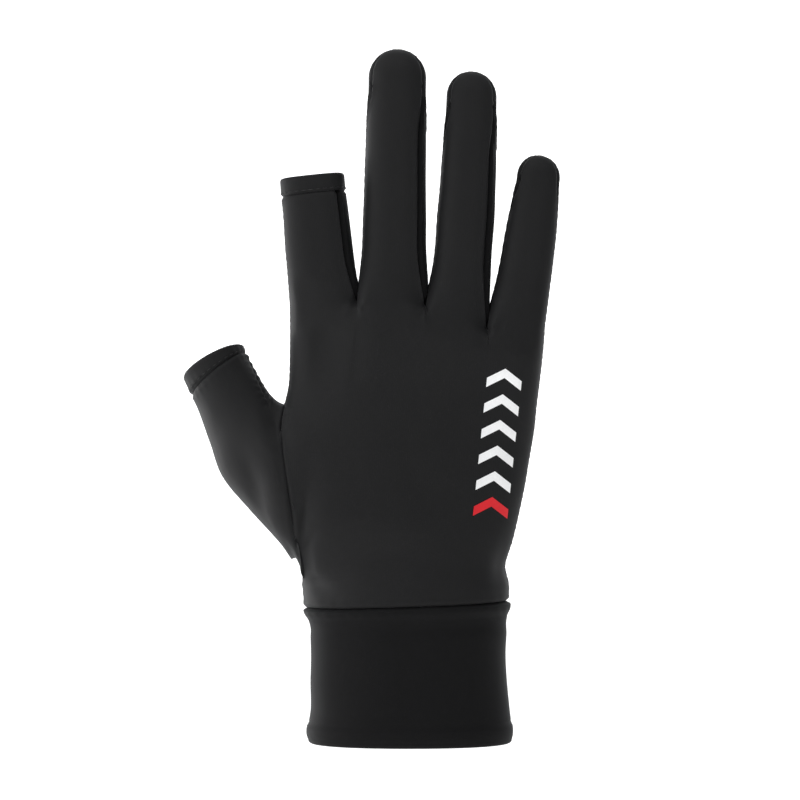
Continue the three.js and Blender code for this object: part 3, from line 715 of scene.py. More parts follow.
def chains(pairs):
    """Edges joined into lines, each a list of point ids in order."""
    links = {}
    for a, b in pairs.tolist():
        links.setdefault(a, []).append(b)
        links.setdefault(b, []).append(a)
    lines, left = [], {frozenset(pair) for pair in pairs.tolist()}
    starts = sorted(a for a in links if len(links[a]) != 2) + sorted(links)
    for start in starts:
        for following in links[start]:
            if frozenset((start, following)) not in left:
                continue
            line, here = [start], [following]
            while here:
                left.discard(frozenset((line[-1], here[0])))
                line.append(here[0])
                joined = links[line[-1]]
                here = [b for b in joined if frozenset((line[-1], b)) in left] if len(joined) == 2 else []
            lines.append(line)
    return lines


SEAM_LINES = {kind: [] for kind in SEAM_STYLE}
names = sorted(net.cells)
for i, first in enumerate(names):
    for second in names[i + 1:]:
        shared = np.isin(BORDERS[first][1], BORDERS[second][1])
        if shared.any():
            SEAM_LINES[seam_kind(first, second)] += chains(BORDERS[first][0][shared])
SEAM_LINES["thumb_strip"] = [
    [ids[HOLE_ROWS - 3] for ring, ids in THUMB_NET if 0.25 < ring <= HEM_START],
    [ids[HOLE_ROWS + 6] for ring, ids in THUMB_NET if ring <= HEM_START],
]
SEAM_LINES["cuff"] = [list(HAND_NET[0]["back"]) + list(HAND_NET[0]["palm"][::-1])]
print("seam lines:", {kind: len(lines) for kind, lines in SEAM_LINES.items()})

# %% Measure every point's distance from the seams
SAMPLE_STEP, LINE_SHIFT = 0.3, 37.7  # between samples, and between the beats of two lines


def tree_of(samples):
    tree = KDTree(len(samples))
    for i, sample in enumerate(samples):
        tree.insert(sample, i)
    tree.balance()
    return tree


def nearest(points, samples):
    tree = tree_of(samples)
    return np.array([tree.find(point)[2] for point in points])


def seam_field(lines, points):
    """Each point's distance from the nearest line and the length along that line there."""
    samples, places = [], []
    for number, line in enumerate(lines):
        track = points[line]
        lengths = arc(track)
        steps = np.arange(0, lengths[-1], SAMPLE_STEP)
        samples.append(np.stack([np.interp(steps, lengths, track[:, k]) for k in range(3)], axis=1))
        samples.append(track)
        places += [steps + LINE_SHIFT * number, lengths + LINE_SHIFT * number]
    samples, places = np.concatenate(samples), np.concatenate(places)
    tree = tree_of(samples)
    found = [tree.find(point) for point in points]
    return np.array([hit[2] for hit in found]), places[[hit[1] for hit in found]]


FIELDS = {kind: seam_field(lines, POINTS) for kind, lines in SEAM_LINES.items()}
print("points within 1 mm of a seam:", {k: int((d < 1).sum()) for k, (d, _) in FIELDS.items()})

# %% [markdown]
# ## Relief
# The outer face moves in and out: the feet of the fingers are eased, then come the dents, the folds, the
# rise beside the thumb's seam, the seams with their puckers, and a slow unevenness of stretched knit.

# %% Ease the feet of the fingers and press in the dents
def net_normals(points):
    sums = np.zeros_like(points)
    for panel in net.cells:
        quads = panel_quads(panel)
        a, b, c, d = (points[quads[:, k]] for k in range(4))
        normal = np.cross(c - a, d - b)
        normal /= np.maximum(np.linalg.norm(normal, axis=1, keepdims=True), 1e-12)
        for k in range(4):
            np.add.at(sums, quads[:, k], normal)
    return sums / np.maximum(np.linalg.norm(sums, axis=1, keepdims=True), 1e-12)


def pressed(points, normals, table):
    """How deep the table's dents or folds press each point of the back."""
    depth = np.zeros(len(points))
    for dent in table:
        dx, dz = points[:, 0] - dent["x"], points[:, 2] - dent["z"]
        turn = math.radians(dent["turn"])
        lengthwise = dz * math.cos(turn) + dx * math.sin(turn)
        crosswise = dx * math.cos(turn) - dz * math.sin(turn)
        near = (lengthwise / dent["length"]) ** 2 + (crosswise / dent["width"]) ** 2
        depth += dent["deep"] * np.exp(-near)
    return depth * np.clip(-normals[:, 1] * 1.4, 0, 1)


def waviness(points, size, seed):
    return np.array([noise.noise(Vector(p) / size + Vector((seed, 0, 0))) for p in points])


EASE_ROUNDS, EASE_STEP = 90, 0.6
PAIRS = np.concatenate([edges_of(panel_quads(panel)) for panel in net.cells])
PAIRS = np.concatenate([PAIRS, PAIRS[:, ::-1]])
DEGREE = np.maximum(np.bincount(PAIRS[:, 0], minlength=net.count), 1)


def eased(points, weight, rounds):
    """Points drawn towards their neighbours' middle, in or out of the cloth only."""
    for _ in range(rounds):
        sums = [np.bincount(PAIRS[:, 0], points[PAIRS[:, 1], k], net.count) for k in range(3)]
        step = np.stack(sums, axis=1) / DEGREE[:, None] - points
        facing = net_normals(points)
        step = facing * np.sum(step * facing, axis=1, keepdims=True)
        points = points + step * weight[:, None] * EASE_STEP
    return points


# The two numbers of each smooth and fade below are where it starts and ends, in millimetres.
foot_ids = np.concatenate([foot[part][3:-3] for foot in FEET for part in ("back", "palm")])
crotch_ids = np.concatenate([web for web in WEBS if len(web) > 1])
tip_ids = [RING_ROWS[i][-1][1]["back"][0] for i, finger in enumerate(FRAMES) if not finger["open"]]
# Round the feet of the fingers, but not in the crotches.
ease = fade(3, 10, nearest(POINTS, POINTS[foot_ids]))
ease *= smooth(1.0, 4.5, nearest(POINTS, POINTS[crotch_ids]))
hole_distance = FIELDS["hole"][0]
# The foot of the thumb's hole, and the band of the hand level with its web.
low_hole = fade(3, 7, hole_distance) * fade(74, 90, POINTS[:, 2]) * smooth(52, 58, POINTS[:, 2])
web_band = bell(POINTS[:, 2], height_z(HOLE_WEB), 5) * smooth(5, 12, hole_distance)
web_band *= fade(-15, 10, POINTS[:, 0])
facing_out = smooth(0.75, 0.95, np.abs(net_normals(POINTS)[:, 1]))
ease = np.maximum(ease, 0.9 * web_band) * facing_out
POINTS = eased(POINTS, np.maximum(ease, 0.8 * low_hole), EASE_ROUNDS)
normals = net_normals(POINTS)
POINTS = POINTS - normals * pressed(POINTS, normals, DENTS)[:, None]
normals = net_normals(POINTS)
press = pressed(POINTS, normals, FOLDS)
print("eased and dented points:", len(POINTS))

# %% Raise the cloth beside the thumb's seam, then press the seams in
LIFT, LIFT_REACH = 1.8, 12  # at the seam, and how far it goes down the thumb
CLIMB, CLIMB_REACH = 1.3, 5  # the further rise of the hand's back
PROUD = 0.3  # worn cloth stands a little proud of its net
SLOW, SLOW_SIZE, PUCKER_SIZE = 0.22, 14.0, 6.0

on_thumb = np.isin(np.arange(net.count), panel_quads("thumb_panel"))
over_hand = fade(25, 62, hole_distance)
climb = CLIMB * (1 - np.exp(-hole_distance / CLIMB_REACH)) * over_hand
lift = np.where(on_thumb, LIFT * bell(hole_distance, 0, LIFT_REACH), LIFT * over_hand + climb)
at_thumb = smooth(60, 76, POINTS[:, 2]) * fade(96, 122, POINTS[:, 2])
press -= lift * np.clip(-normals[:, 1] * 1.5, 0, 1) * at_thumb
press -= PROUD
slow = waviness(POINTS, SLOW_SIZE, 3.0)
amount = 0.6 + 0.8 * np.clip(waviness(POINTS, PUCKER_SIZE, 11.0) + 0.4, 0, 1)
for kind, (distance, place) in FIELDS.items():
    style = SEAM_STYLE[kind]
    share = 0.2 + 0.8 * smooth(62, 84, POINTS[:, 2]) if kind == "hole" else 1.0
    groove = style["deep"] * bell(distance, 0, style["wide"]) * share
    if kind == "side":
        groove *= smooth(0.5, 4, nearest(POINTS, POINTS[tip_ids]))
    rise = style["rise"] * bell(distance, 2.4 * style["wide"], 1.1 * style["wide"])
    beat = np.sin(2 * np.pi * place / style["wave"] + 2.5 * slow)
    near = bell(distance, 1.5, 1.6)
    press += groove - rise * share + style["pucker"] * amount * beat * near * share
press += SLOW * slow
POINTS = POINTS - normals * press[:, None]
normals = net_normals(POINTS)
print("relief from", round(float(-press.max()), 2), "to", round(float(-press.min()), 2), "mm")

# %% [markdown]
# ## From net to cloth
# A panel becomes a wall of cloth: its outer face, an inner face, and the edge between them. A sewn
# edge draws back from its neighbour outside and meets it inside, so that no light comes through. The
# open end of a finger is a round fold.

# %% Build the wall of one panel
FLAT_UNIT = 100  # millimetres in one unit of the flat places


def link_piece(name, mesh, node):
    piece = add_object(name, mesh)
    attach(piece, "root")
    if node:
        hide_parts(node)
    return piece


def smooth_mesh(name, points, faces, sharp):
    mesh = bpy.data.meshes.new(name)
    mesh.from_pydata((np.asarray(points) / 1000).tolist(), [], faces)
    mesh.update()
    mesh.validate()
    mesh.shade_smooth()
    mesh.set_sharp_from_angle(angle=math.radians(sharp))
    return mesh


def make_mesh(name, points, faces, flat):
    mesh = smooth_mesh(name, points, faces, 48)
    layer = mesh.uv_layers.new(name="knit")
    loops = np.empty(len(mesh.loops), dtype=np.int32)
    mesh.loops.foreach_get("vertex_index", loops)
    layer.data.foreach_set("uv", (flat[loops] / FLAT_UNIT).astype(np.float32).ravel())
    return mesh


ALL_KEYS = np.concatenate([keys for _, keys in BORDERS.values()])
ALL_KEYS, KEY_COUNTS = np.unique(ALL_KEYS, return_counts=True)
SHARED_KEYS = set(ALL_KEYS[KEY_COUNTS > 1].tolist())
LIP_STEPS = 6


def drawn_back(panel, pairs, keys, wall):
    """How far each border point moves into its panel: half the seam's gap, or half a fold's wall."""
    quads = panel_quads(panel)
    a, b, c, d = (POINTS[quads[:, k]] for k in range(4))
    middle = (a + b + c + d) / 4
    owner = {}
    for k in range(4):
        for row, (p, q) in enumerate(quads[:, [k, (k + 1) % 4]].tolist()):
            owner[(p, q)] = row
    pulls, opened = {}, set()
    for (p, q), key in zip(pairs.tolist(), keys.tolist()):
        edge = unit(POINTS[q] - POINTS[p])
        inwards = middle[owner[(p, q)]] - POINTS[p]
        inwards = unit(inwards - edge * inwards.dot(edge))
        if key not in SHARED_KEYS:
            opened.update((p, q))
        for point in (p, q):
            pulls.setdefault(point, []).append((inwards, key in SHARED_KEYS))
    moves = {}
    for point, listed in pulls.items():
        total = sum(v for v, _ in listed)
        share = np.linalg.norm(total) / len(listed)
        miter = min(1.5, 1 / max(share, 1e-3))
        step = SEAM_GAP / 2 if all(s for _, s in listed) else wall / 2
        moves[point] = unit(total) * miter * step
    return moves, opened


def cloth_wall(panel, wall):
    """Points, faces and flat places of one panel's wall."""
    pairs, keys = BORDERS[panel]
    moves, opened = drawn_back(panel, pairs, keys, wall)
    quads = panel_quads(panel)
    used = np.unique(quads)
    number = {point: i for i, point in enumerate(used.tolist())}
    outer = POINTS[used].copy()
    for point, move in moves.items():
        outer[number[point]] += move
    inner = outer - normals[used] * wall
    for point in moves.keys() - opened:
        inner[number[point]] -= moves[point]
    flat = np.zeros((net.count, 2))
    for ids, u, v in net.knit[panel]:
        flat[ids] = np.stack([u, v], axis=1)
    flat = flat[used]
    points, places = [outer, inner], [flat, flat]
    count, faces = len(used), []
    for corners in quads.tolist():
        ring = [number[p] for i, p in enumerate(corners) if p != corners[(i + 1) % 4]]
        if len(ring) > 2:
            faces.append(ring)
            faces.append([count + i for i in reversed(ring)])
    total = 2 * count
    lips = {}
    for (p, q), key in zip(pairs.tolist(), keys.tolist()):
        a, b = number[p], number[q]
        if key in SHARED_KEYS:
            faces.append([b, a, count + a, count + b])
            continue
        for point in (p, q):
            if point in lips:
                continue
            i = number[point]
            away = unit(-moves[point])
            centre, half = (outer[i] + inner[i]) / 2, (outer[i] - inner[i]) / 2
            turns = np.linspace(0, np.pi, LIP_STEPS + 1)[1:-1]
            lip = centre + np.outer(np.cos(turns), half) + np.outer(np.sin(turns) * wall / 2, away)
            points.append(lip)
            places.append(np.repeat(flat[i][None], len(lip), axis=0))
            lips[point] = [i, *range(total, total + len(lip)), count + i]
            total += len(lip)
        for k in range(LIP_STEPS):
            faces.append([lips[q][k], lips[p][k], lips[p][k + 1], lips[q][k + 1]])
    return np.concatenate(points), faces, np.concatenate(places)


PANEL_SLOTS = {
    "back_panel": ("glove_back", "back_knit", FABRIC),
    "palm_panel": ("glove_palm", "palm_knit", FABRIC),
    "fourchette_index_middle": ("strip_index_middle", "strip_knit", FABRIC),
    "fourchette_middle_ring": ("strip_middle_ring", "strip_knit", FABRIC),
    "fourchette_ring_little": ("strip_ring_little", "strip_knit", FABRIC),
    "thumb_panel": ("thumb_tube", "back_knit", FABRIC),
    "index_hem": ("index_fold", "hem_knit", HEM_WALL),
    "thumb_hem": ("thumb_fold", "hem_knit", HEM_WALL),
}
PIECES = {}
for node, (name, slot_name, wall) in PANEL_SLOTS.items():
    mesh = make_mesh(name, *cloth_wall(node, wall))
    PIECES[node] = link_piece(name, mesh, node)
    print(name, "has", len(mesh.polygons), "faces")

# %% [markdown]
# ## The cuff
# The cuff is two layers folded at the mouth. Its sewn edge rolls out below the seam, and a shallow
# crease a few millimetres above the mouth shows where the inner layer ends.

# %% Build the cuff
CUFF_AROUND = 256
MOUTH_FOLD = 0.02  # share of the height where the fold begins


def cuff_offset(height):
    """How far the cuff's outer face stands out from its table, in millimetres."""
    roll = RIM_ROLL * 1.35 * smooth(0.9, 0.965, height) - 1.35 * smooth(0.982, 1, height)
    band = 0.4 * fade(0.115, 0.15, height) - 0.14 * bell(height, 0.152, 0.012)
    return float(roll + band - 0.35 * bell(height, 0.85, 0.05))


def cuff_at(column, height):
    return float(along(CUFF_ROWS, "height", column, height))


def cuff_rows():
    """Height as a share, how far in (0 outside, 1 inside) and a fold's rise, from ring to ring."""
    even = np.concatenate([np.linspace(MOUTH_FOLD, 0.88, 52), np.linspace(0.9, 1, 16)])
    rows = [(float(h), 0.0, 0.0) for h in even]
    rows += [(1.0, 0.35, 0.1), (1.0, 0.65, 0.1)]
    rows += [(float(h), 1.0, 0.0) for h in even[::-1]]
    for turn in np.linspace(np.pi, 0, 9)[1:-1]:
        rows.append((MOUTH_FOLD, (1 - math.cos(turn)) / 2, -math.sin(turn) * 0.92))
    return rows


def cuff_wall():
    top = CUFF_HEIGHT - SEAM_GAP / 2
    column = np.arange(CUFF_AROUND)
    front = column < CUFF_AROUND // 2
    step = np.where(front, column, CUFF_AROUND - column) / (CUFF_AROUND // 2)
    share = half_wave(step)
    side = np.where(front, -1, 1)
    rings, places = [], []
    rows = cuff_rows()
    for height, inset, fold in rows:
        offset = cuff_offset(height) * (1 - inset)
        breadth = WRIST_BREADTH * cuff_at("breadth", height) + 2 * offset - 2 * inset * CUFF_WALL
        depth = WRIST_DEPTH * cuff_at("depth", height) + 2 * offset - 2 * inset * CUFF_WALL
        x = WRIST_BREADTH * cuff_at("shift", height) + breadth * (share - 0.5)
        y = side * depth * oval(share) / 2
        z = height * top + SEAM_TILT * (share - 0.5) * height + fold
        ring = np.stack([x, y, z], axis=1)
        rings.append(ring)
        places.append(np.stack([arc(ring) - 95, np.full(CUFF_AROUND, height * top)], axis=1))
    points = np.concatenate(rings)
    faces = []
    for j in range(len(rows)):
        up = (j + 1) % len(rows)
        for i in range(CUFF_AROUND):
            following = (i + 1) % CUFF_AROUND
            faces.append([j * CUFF_AROUND + i, j * CUFF_AROUND + following,
                          up * CUFF_AROUND + following, up * CUFF_AROUND + i])
    outside = np.array([1.0 - inset for _, inset, _ in rows]).repeat(CUFF_AROUND)
    away = points * np.array([1, 1, 0])
    away /= np.linalg.norm(away, axis=1, keepdims=True)
    wave = waviness(points * np.array([1, 1, 0.5]), 13.0, 21.0) * 0.22
    pulled = bell(points[:, 2], top - 2, 2.0)
    top_pucker = 0.05 * np.sin(2 * np.pi * np.concatenate(places)[:, 0] / 4.6) * pulled
    points = points + away * ((wave + top_pucker) * outside)[:, None]
    return points, faces, np.concatenate(places)


cuff_mesh = make_mesh("cuff_folded", *cuff_wall())
PIECES["cuff"] = link_piece("cuff_folded", cuff_mesh, "cuff")
print("cuff has", len(cuff_mesh.polygons), "faces")

# %% [markdown]
# ## Stitches on the folded ends
# A thread runs round each folded end, a little inside the groove that it pulls. The stitches are made
# by Geometry Nodes: short capsules of thread set along a closed line.

# %% Stitch nodes
STITCH = {"Stitch length": 0.0016, "Pitch": 0.0024, "Thread radius": 0.00016, "Seed": 7}  # metres


def stitch_nodes(thread):
    tree = bpy.data.node_groups.new("stitches_on_line", "GeometryNodeTree")
    tree.interface.new_socket(name="Line", in_out="INPUT", socket_type="NodeSocketGeometry")
    sockets = {}
    for label, value in STITCH.items():
        kind = "NodeSocketInt" if isinstance(value, int) else "NodeSocketFloat"
        item = tree.interface.new_socket(name=label, in_out="INPUT", socket_type=kind)
        item.default_value = value
        sockets[label] = item.identifier
    tree.interface.new_socket(name="Stitches", in_out="OUTPUT", socket_type="NodeSocketGeometry")

    def node(kind, links=None, **props):
        made = tree.nodes.new(kind)
        for key, value in props.items():
            setattr(made, key, value)
        for key, value in (links or {}).items():
            target = made.inputs[key]
            if isinstance(value, bpy.types.NodeSocket):
                tree.links.new(value, target)
            else:
                target.default_value = value
        return made

    def maths(operation, *values):
        return node("ShaderNodeMath", dict(enumerate(values)), operation=operation).outputs[0]

    given = node("NodeGroupInput").outputs
    curve = node("GeometryNodeMeshToCurve", {"Mesh": given["Line"]}).outputs["Curve"]
    dots = node("GeometryNodeCurveToPoints", {"Curve": curve, "Length": given["Pitch"]}, mode="LENGTH")
    dots = dots.outputs
    jitter = node("FunctionNodeRandomValue", {"Seed": given["Seed"], 2: -0.12, 3: 0.12}, data_type="FLOAT")
    turn = node("ShaderNodeCombineXYZ", {"Z": jitter.outputs[1]}).outputs[0]
    turned = node("FunctionNodeRotateEuler", {"Rotation": dots["Rotation"], "Rotate By": turn}).outputs[0]
    half = maths("MULTIPLY", given["Stitch length"], 0.5)
    start = node("ShaderNodeCombineXYZ", {"Z": maths("MULTIPLY", half, -1.0)}).outputs[0]
    end = node("ShaderNodeCombineXYZ", {"Z": half}).outputs[0]
    line = node("GeometryNodeCurvePrimitiveLine", {"Start": start, "End": end}).outputs[0]
    fine = node("GeometryNodeResampleCurve", {"Curve": line, "Count": 9}).outputs[0]
    factor = node("GeometryNodeSplineParameter").outputs["Factor"]
    swell = maths("SINE", maths("MULTIPLY", factor, math.pi))
    least = maths("MAXIMUM", maths("POWER", swell, 0.45), 0.25)
    radius = given["Thread radius"]
    ring = node("GeometryNodeCurvePrimitiveCircle", {"Resolution": 8, "Radius": radius}).outputs[0]
    tube = node("GeometryNodeCurveToMesh",
                {"Curve": fine, "Profile Curve": ring, "Fill Caps": True, "Scale": least}).outputs[0]
    placed = node("GeometryNodeInstanceOnPoints",
                  {"Points": dots["Points"], "Instance": tube, "Rotation": turned}).outputs[0]
    real = node("GeometryNodeRealizeInstances", {"Geometry": placed}).outputs[0]
    painted = node("GeometryNodeSetMaterial", {"Geometry": real, "Material": thread}).outputs[0]
    node("NodeGroupOutput", {"Stitches": painted})
    return tree, sockets


print("stitch nodes are ready to be built")

# %% [markdown]
# ## Shader sums
# A material's pattern is written as sums over its flat place. This small class turns ordinary
# arithmetic into the shader's own nodes.

# %% Arithmetic that builds shader nodes
class Sum:
    """One number or vector in a material, and the arithmetic on it."""

    def __init__(self, tree, socket):
        self.tree, self.socket = tree, socket

    def node(self, kind, links, output=0, **props):
        made = self.tree.nodes.new(kind)
        for key, value in props.items():
            setattr(made, key, value)
        for key, value in links.items():
            value = value.socket if isinstance(value, Sum) else value
            if isinstance(value, bpy.types.NodeSocket):
                self.tree.links.new(value, made.inputs[key])
            else:
                made.inputs[key].default_value = value
        return Sum(self.tree, made.outputs[output])

    def maths(self, operation, *values):
        return self.node("ShaderNodeMath", dict(enumerate(values)), operation=operation)


def operator(operation, swapped):
    def apply(self, other):
        return self.maths(operation, other, self) if swapped else self.maths(operation, self, other)
    return apply


for word, operation in dict(add="ADD", sub="SUBTRACT", mul="MULTIPLY", truediv="DIVIDE", pow="POWER").items():
    setattr(Sum, f"__{word}__", operator(operation, False))
    setattr(Sum, f"__r{word}__", operator(operation, True))


def new_material(name):
    material = bpy.data.materials.new(name)
    material.use_nodes = True
    tree = material.node_tree
    shader = tree.nodes["Principled BSDF"]
    return material, tree, shader


def body_place(tree):
    return Sum(tree, tree.nodes.new("ShaderNodeTexCoord").outputs["Object"])


def grains(ground, scale, detail):
    return ground.node("ShaderNodeTexNoise", {"Vector": ground, "Scale": scale, "Detail": detail})


def paint(tree, shader, factor, colour, ends, shades):
    """Colour between two shades of one colour, as the factor goes from end to end."""
    ramp = tree.nodes.new("ShaderNodeValToRGB")
    for element, end, shade in zip(ramp.color_ramp.elements, ends, shades):
        element.position = end
        element.color = (*[shade * c for c in colour], 1)
    tree.links.new(factor.socket, ramp.inputs[0])
    tree.links.new(ramp.outputs[0], shader.inputs["Base Color"])


def surface(tree, shader, rough, height, strength, distance, gloss):
    tree.links.new(rough.socket, shader.inputs["Roughness"])
    bump = tree.nodes.new("ShaderNodeBump")
    bump.inputs["Strength"].default_value = strength
    bump.inputs["Distance"].default_value = distance
    tree.links.new(height.socket, bump.inputs["Height"])
    tree.links.new(bump.outputs[0], shader.inputs["Normal"])
    shader.inputs["Specular IOR Level"].default_value = gloss


print("shader sums work on plain sockets")

# %% [markdown]
# ## The knit
# The knit is rows of small loops shaped like the letter V. Wales, the columns of loops, run up the
# finger. The loops are seen as fine relief with a painted shade in their hollows, over a cloud of uneven dye.

# %% Knit material
# DEEP_BLACK on the fourchette strips is a painted shade of their sides, which face away from the light; on
# the cuff it is a darker tone.
BLACK, DEEP_BLACK = (0.0082, 0.0082, 0.0086), (0.0042, 0.0042, 0.0045)
WALE, COURSE = 0.62, 0.46  # millimetres between columns and between rows of loops


def knit_material(name, colour, roughness, sheen, gloss=0.17):
    material, tree, shader = new_material(name)
    flat = tree.nodes.new("ShaderNodeUVMap")
    flat.uv_map = "knit"
    split = tree.nodes.new("ShaderNodeSeparateXYZ")
    tree.links.new(flat.outputs[0], split.inputs[0])
    u, v = Sum(tree, split.outputs[0]), Sum(tree, split.outputs[1])
    ground = body_place(tree)
    wobble = grains(ground, 260.0, 2.0) - 0.5
    across = u * (FLAT_UNIT / WALE) + wobble * 0.35
    offset = across.maths("FRACT", across) - 0.5
    arm = offset.maths("ABSOLUTE", offset)
    loop = (v * (FLAT_UNIT / COURSE) + arm * 1.1 + wobble * 0.3) * (2 * math.pi)
    loop = loop.maths("COSINE", loop) * 0.5 + 0.5
    wale_turn = arm * (2 * math.pi)
    wale_round = arm.maths("COSINE", wale_turn) * 0.5 + 0.5
    stitch = loop * 0.45 + wale_round * 0.55
    cloud = grains(ground, 38.0, 5.0)
    fuzz = grains(ground, 2600.0, 2.0)
    # Base colour follows the loops: lighter on their crests and darker in their hollows, a painted shade;
    # cloud and fuzz add random tone.
    paint(tree, shader, stitch * 0.34 + cloud * 0.36 + fuzz * 0.3, colour, (0.2, 0.85), (0.72, 1.3))
    rough = cloud * 0.14 + (roughness - 0.07) + (stitch - 0.5) * 0.06
    surface(tree, shader, rough, stitch * 0.8 + fuzz * 0.4, 0.35, 0.00006, gloss)
    shader.inputs["Sheen Weight"].default_value = sheen
    shader.inputs["Sheen Roughness"].default_value = 0.45
    shader.inputs["Sheen Tint"].default_value = (0.75, 0.77, 0.8, 1)
    return material


KNITS = {
    "back_panel": knit_material("knit_back", BLACK, 0.66, 0.05),
    "palm_panel": knit_material("knit_palm", (0.0078, 0.0078, 0.0082), 0.74, 0.05),
    "thumb_panel": knit_material("knit_thumb", BLACK, 0.66, 0.05),
    "index_hem": knit_material("knit_index_fold", BLACK, 0.68, 0.05),
    "thumb_hem": knit_material("knit_thumb_fold", BLACK, 0.68, 0.05),
    "cuff": knit_material("knit_cuff", DEEP_BLACK, 0.72, 0.06, gloss=0.11),
}
# The fourchette strips get DEEP_BLACK and little sheen: their darker colour is a painted shade, because their
# sides face away from the lights at the left.
for node, (name, slot_name, _) in PANEL_SLOTS.items():
    if slot_name == "strip_knit":
        KNITS[node] = knit_material("painted_shade_knit_of_" + name, DEEP_BLACK, 0.76, 0.02, gloss=0.11)
for node, material in KNITS.items():
    PIECES[node].data.materials.append(material)
print("knits:", len(KNITS))

# %% Thread material
def thread_material(name, colour):
    material, tree, shader = new_material(name)
    strands = grains(body_place(tree), 5200.0, 2.0)
    paint(tree, shader, strands, colour, (0, 1), (0.6, 1.5))
    surface(tree, shader, strands * 0.2 + 0.5, strands, 0.4, 0.00004, 0.3)
    return material


THREAD = thread_material("black_thread", (0.009, 0.009, 0.0095))
print("thread:", THREAD.name)

# %% Stitch the folded ends
STITCHES, STITCH_INPUTS = stitch_nodes(THREAD)


def stitch_round(name, ids, towards, offset, lift):
    """Stitches along a closed line of net points, moved by offset and lifted off the cloth."""
    track = POINTS[ids] + towards * offset + normals[ids] * lift
    line = bpy.data.meshes.new(name + "_line")
    count = len(track)
    line.from_pydata((track / 1000).tolist(), [(i, (i + 1) % count) for i in range(count)], [])
    carrier = add_object(name + "_line", line)
    modifier = carrier.modifiers.new("stitches", "NODES")
    modifier.node_group = STITCHES
    for label, value in STITCH.items():
        modifier[STITCH_INPUTS[label]] = value
    carrier.update_tag()
    graph = bpy.context.evaluated_depsgraph_get()
    graph.update()
    mesh = bpy.data.meshes.new_from_object(carrier.evaluated_get(graph))
    mesh.name = name
    bpy.data.objects.remove(carrier)
    bpy.data.meshes.remove(line)
    mesh.shade_smooth()
    return link_piece(name, mesh, None)


THREAD_OFFSET, THREAD_LIFT = 0.1, 0.02  # towards the open end and off the cloth
hem_ring = next(ring for reach, ring in RING_ROWS[0] if in_index_hem(FRAMES[0], reach))
index_line = np.concatenate([hem_ring["back"], hem_ring["right"][1:-1], hem_ring["palm"][:-1]])
thumb_line = next(ids for ring, ids in THUMB_NET if thumb_panel_at(ring) == "thumb_hem")
index_stitches = stitch_round("index_stitches", index_line, FRAMES[0]["up"], THREAD_OFFSET, THREAD_LIFT)
thumb_stitches = stitch_round("thumb_stitches", thumb_line, THUMB_UP, THREAD_OFFSET, THREAD_LIFT)
print("stitch faces:", len(index_stitches.data.polygons), len(thumb_stitches.data.polygons))

# %% [markdown]
# ## The mark on the back of the hand
# A plain mark of chevrons lies along the little finger's side of the hand: five white ones and a red
# one at the foot. Each is a thin film that follows the cloth under it.

# %% Press the chevrons onto the cloth
back_mesh = PIECES["back_panel"].data
back_vertices = [tuple(v.co) for v in back_mesh.vertices]
BACK_TREE = BVHTree.FromPolygons(back_vertices, [tuple(p.vertices) for p in back_mesh.polygons])
MARK_TOP, MARK_FOOT = (31.6, 122.8), (27.2, 80.5)
MARK_WIDTH, MARK_THICK, MARK_RISE = 11.5, 3.1, 3.6
FILM_TOP, FILM_FOOT = 0.13, 0.03  # how far the film's faces lie off the cloth
CHEVRONS, WHITE_CHEVRONS = 6, 5


def on_cloth(x, z, lift):
    origin = Vector((x / 1000, -0.08, z / 1000))
    hit, normal, _, _ = BACK_TREE.ray_cast(origin, Vector((0, 1, 0)))
    return np.array(hit) * 1000 + np.array(normal) * lift


def chevron(middle):
    """A closed film: outer face, inner face and the thin edge between them."""
    across, deep = 40, 8
    direction = unit(np.array(MARK_TOP) - np.array(MARK_FOOT))
    aside = np.array([direction[1], -direction[0]])
    outer, inner = [], []
    for i in range(across + 1):
        s = 2 * i / across - 1
        for j in range(deep + 1):
            t = (j / deep - 0.5) * MARK_THICK
            place = np.array(middle) + aside * s * MARK_WIDTH / 2 + direction * (t - abs(s) * MARK_RISE)
            outer.append(on_cloth(*place, FILM_TOP))
            inner.append(on_cloth(*place, FILM_FOOT))
    faces, count, row = [], len(outer), deep + 1
    for i in range(across):
        for j in range(deep):
            a = i * row + j
            faces.append([a, a + row, a + row + 1, a + 1])
            faces.append([count + a, count + a + 1, count + a + row + 1, count + a + row])
    rim = [i * row for i in range(across)] + [across * row + j for j in range(deep)]
    rim += [i * row + deep for i in range(across, 0, -1)] + list(range(deep, 0, -1))
    for a, b in zip(rim, rim[1:] + rim[:1]):
        faces.append([b, a, count + a, count + b])
    return outer + inner, faces


def film_material(name, colour):
    material, tree, shader = new_material(name)
    ground = body_place(tree)
    grain, wear = grains(ground, 1500.0, 4.0), grains(ground, 160.0, 3.0)
    paint(tree, shader, grain * 0.5 + wear * 0.5, colour, (0.25, 0.7), (0.86, 1))
    surface(tree, shader, grain * 0.16 + 0.42, grain, 0.25, 0.00003, 0.35)
    return material


def film_piece(name, middles, material):
    points, faces = [], []
    for middle in middles:
        some, listed = chevron(middle)
        faces += [[i + len(points) for i in face] for face in listed]
        points += some
    mesh = smooth_mesh(name, points, faces, 50)
    mesh.materials.append(material)
    return link_piece(name, mesh, None)


places = [mix(np.array(MARK_TOP), np.array(MARK_FOOT), i / (CHEVRONS - 1)) for i in range(CHEVRONS)]
white, red = film_material("white_film", (0.93, 0.93, 0.93)), film_material("red_film", (0.70, 0.012, 0.02))
film_piece("white_chevrons", places[:WHITE_CHEVRONS], white)
film_piece("red_chevron", places[WHITE_CHEVRONS:], red)
print("mark of", len(places), "chevrons")

# %% [markdown]
# ## Floor, backdrop and light
# The glove is held up over a pale floor. Three soft lights stand at its left, one of them low behind
# it, a faint one at its right and one above. The pale room around lights the rest.

# %% Set the stage
def plane(name, corners):
    mesh = bpy.data.meshes.new(name)
    mesh.from_pydata(corners, [], [(0, 1, 2, 3)])
    mesh.update()
    piece = add_object(name, mesh)
    return piece


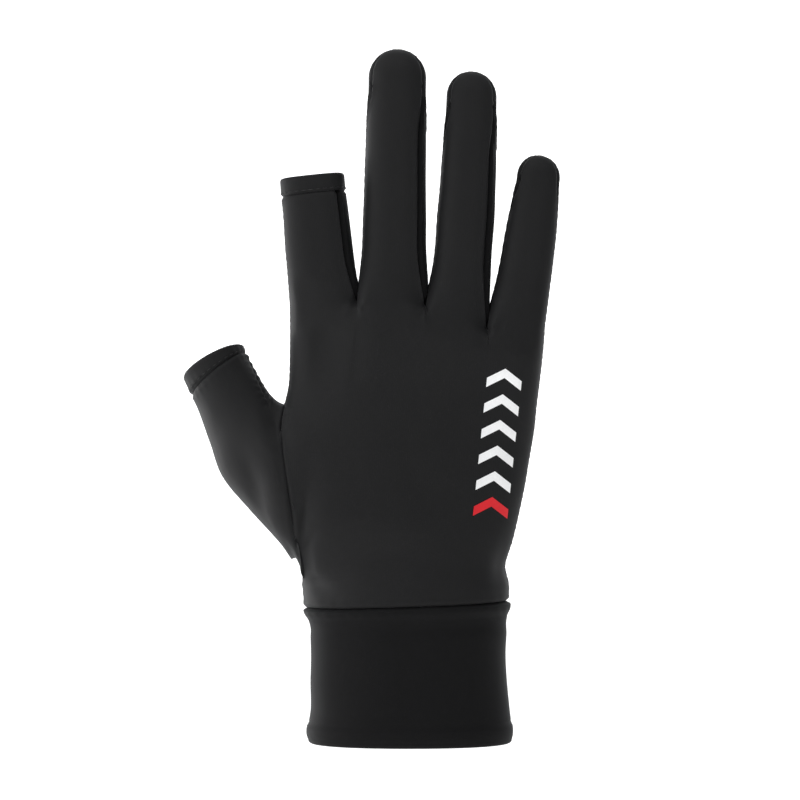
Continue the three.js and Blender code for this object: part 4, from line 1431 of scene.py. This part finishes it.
def pale_material(name, grey, glow):
    material, _, shader = new_material(name)
    shader.inputs["Base Color"].default_value = (grey, grey, grey, 1)
    shader.inputs["Roughness"].default_value = 0.9
    shader.inputs["Specular IOR Level"].default_value = 0.1
    shader.inputs["Emission Color"].default_value = (1, 1, 1, 1)
    shader.inputs["Emission Strength"].default_value = glow
    return material


FLOOR_Z, BACKDROP_Y, REACH = -0.09, 2.2, 6  # metres
floor = plane("floor", [(-REACH, -REACH, FLOOR_Z), (REACH, -REACH, FLOOR_Z),
                        (REACH, REACH, FLOOR_Z), (-REACH, REACH, FLOOR_Z)])
floor.data.materials.append(pale_material("pale_floor", 0.86, 0.5))
backdrop = plane("backdrop", [(-REACH, BACKDROP_Y, -0.2), (REACH, BACKDROP_Y, -0.2),
                              (REACH, BACKDROP_Y, 5), (-REACH, BACKDROP_Y, 5)])
backdrop.data.materials.append(pale_material("pale_backdrop", 0.9, 0.72))

world = bpy.data.worlds.new("room")
world.use_nodes = True
room = world.node_tree.nodes["Background"].inputs
room[0].default_value, room[1].default_value = (0.96, 0.98, 1.0, 1), 0.37
bpy.context.scene.world = world


def soft_light(name, place, aim, size, power):
    """An oblong light that faces a point of the glove. Metres and watts."""
    data = bpy.data.lights.new(name, "AREA")
    data.shape = "RECTANGLE"
    data.size, data.size_y = size
    data.energy = power
    light = add_object(name, data)
    light.location = place
    light.rotation_euler = (Vector(aim) - Vector(place)).to_track_quat("-Z", "Y").to_euler()


soft_light("front_left_light", (-1.04, -0.6, 0.25), (0, 0, 0.11), (0.5, 1.2), 5.6)
soft_light("side_light", (-1.2, 0.0, 0.2), (0, 0, 0.08), (0.5, 1.2), 6.0)
soft_light("low_left_light", (-0.85, 0.5, -0.3), (0, 0, 0.02), (0.5, 0.7), 23)
soft_light("right_light", (1.04, 0.6, -0.2), (0, 0, 0.02), (0.4, 0.7), 0.6)
soft_light("top_light", (-0.15, -0.45, 1.15), (0, 0, 0.1), (0.8, 0.5), 5)
bpy.context.scene.view_settings.view_transform = "Standard"
print("stage and lights are set")
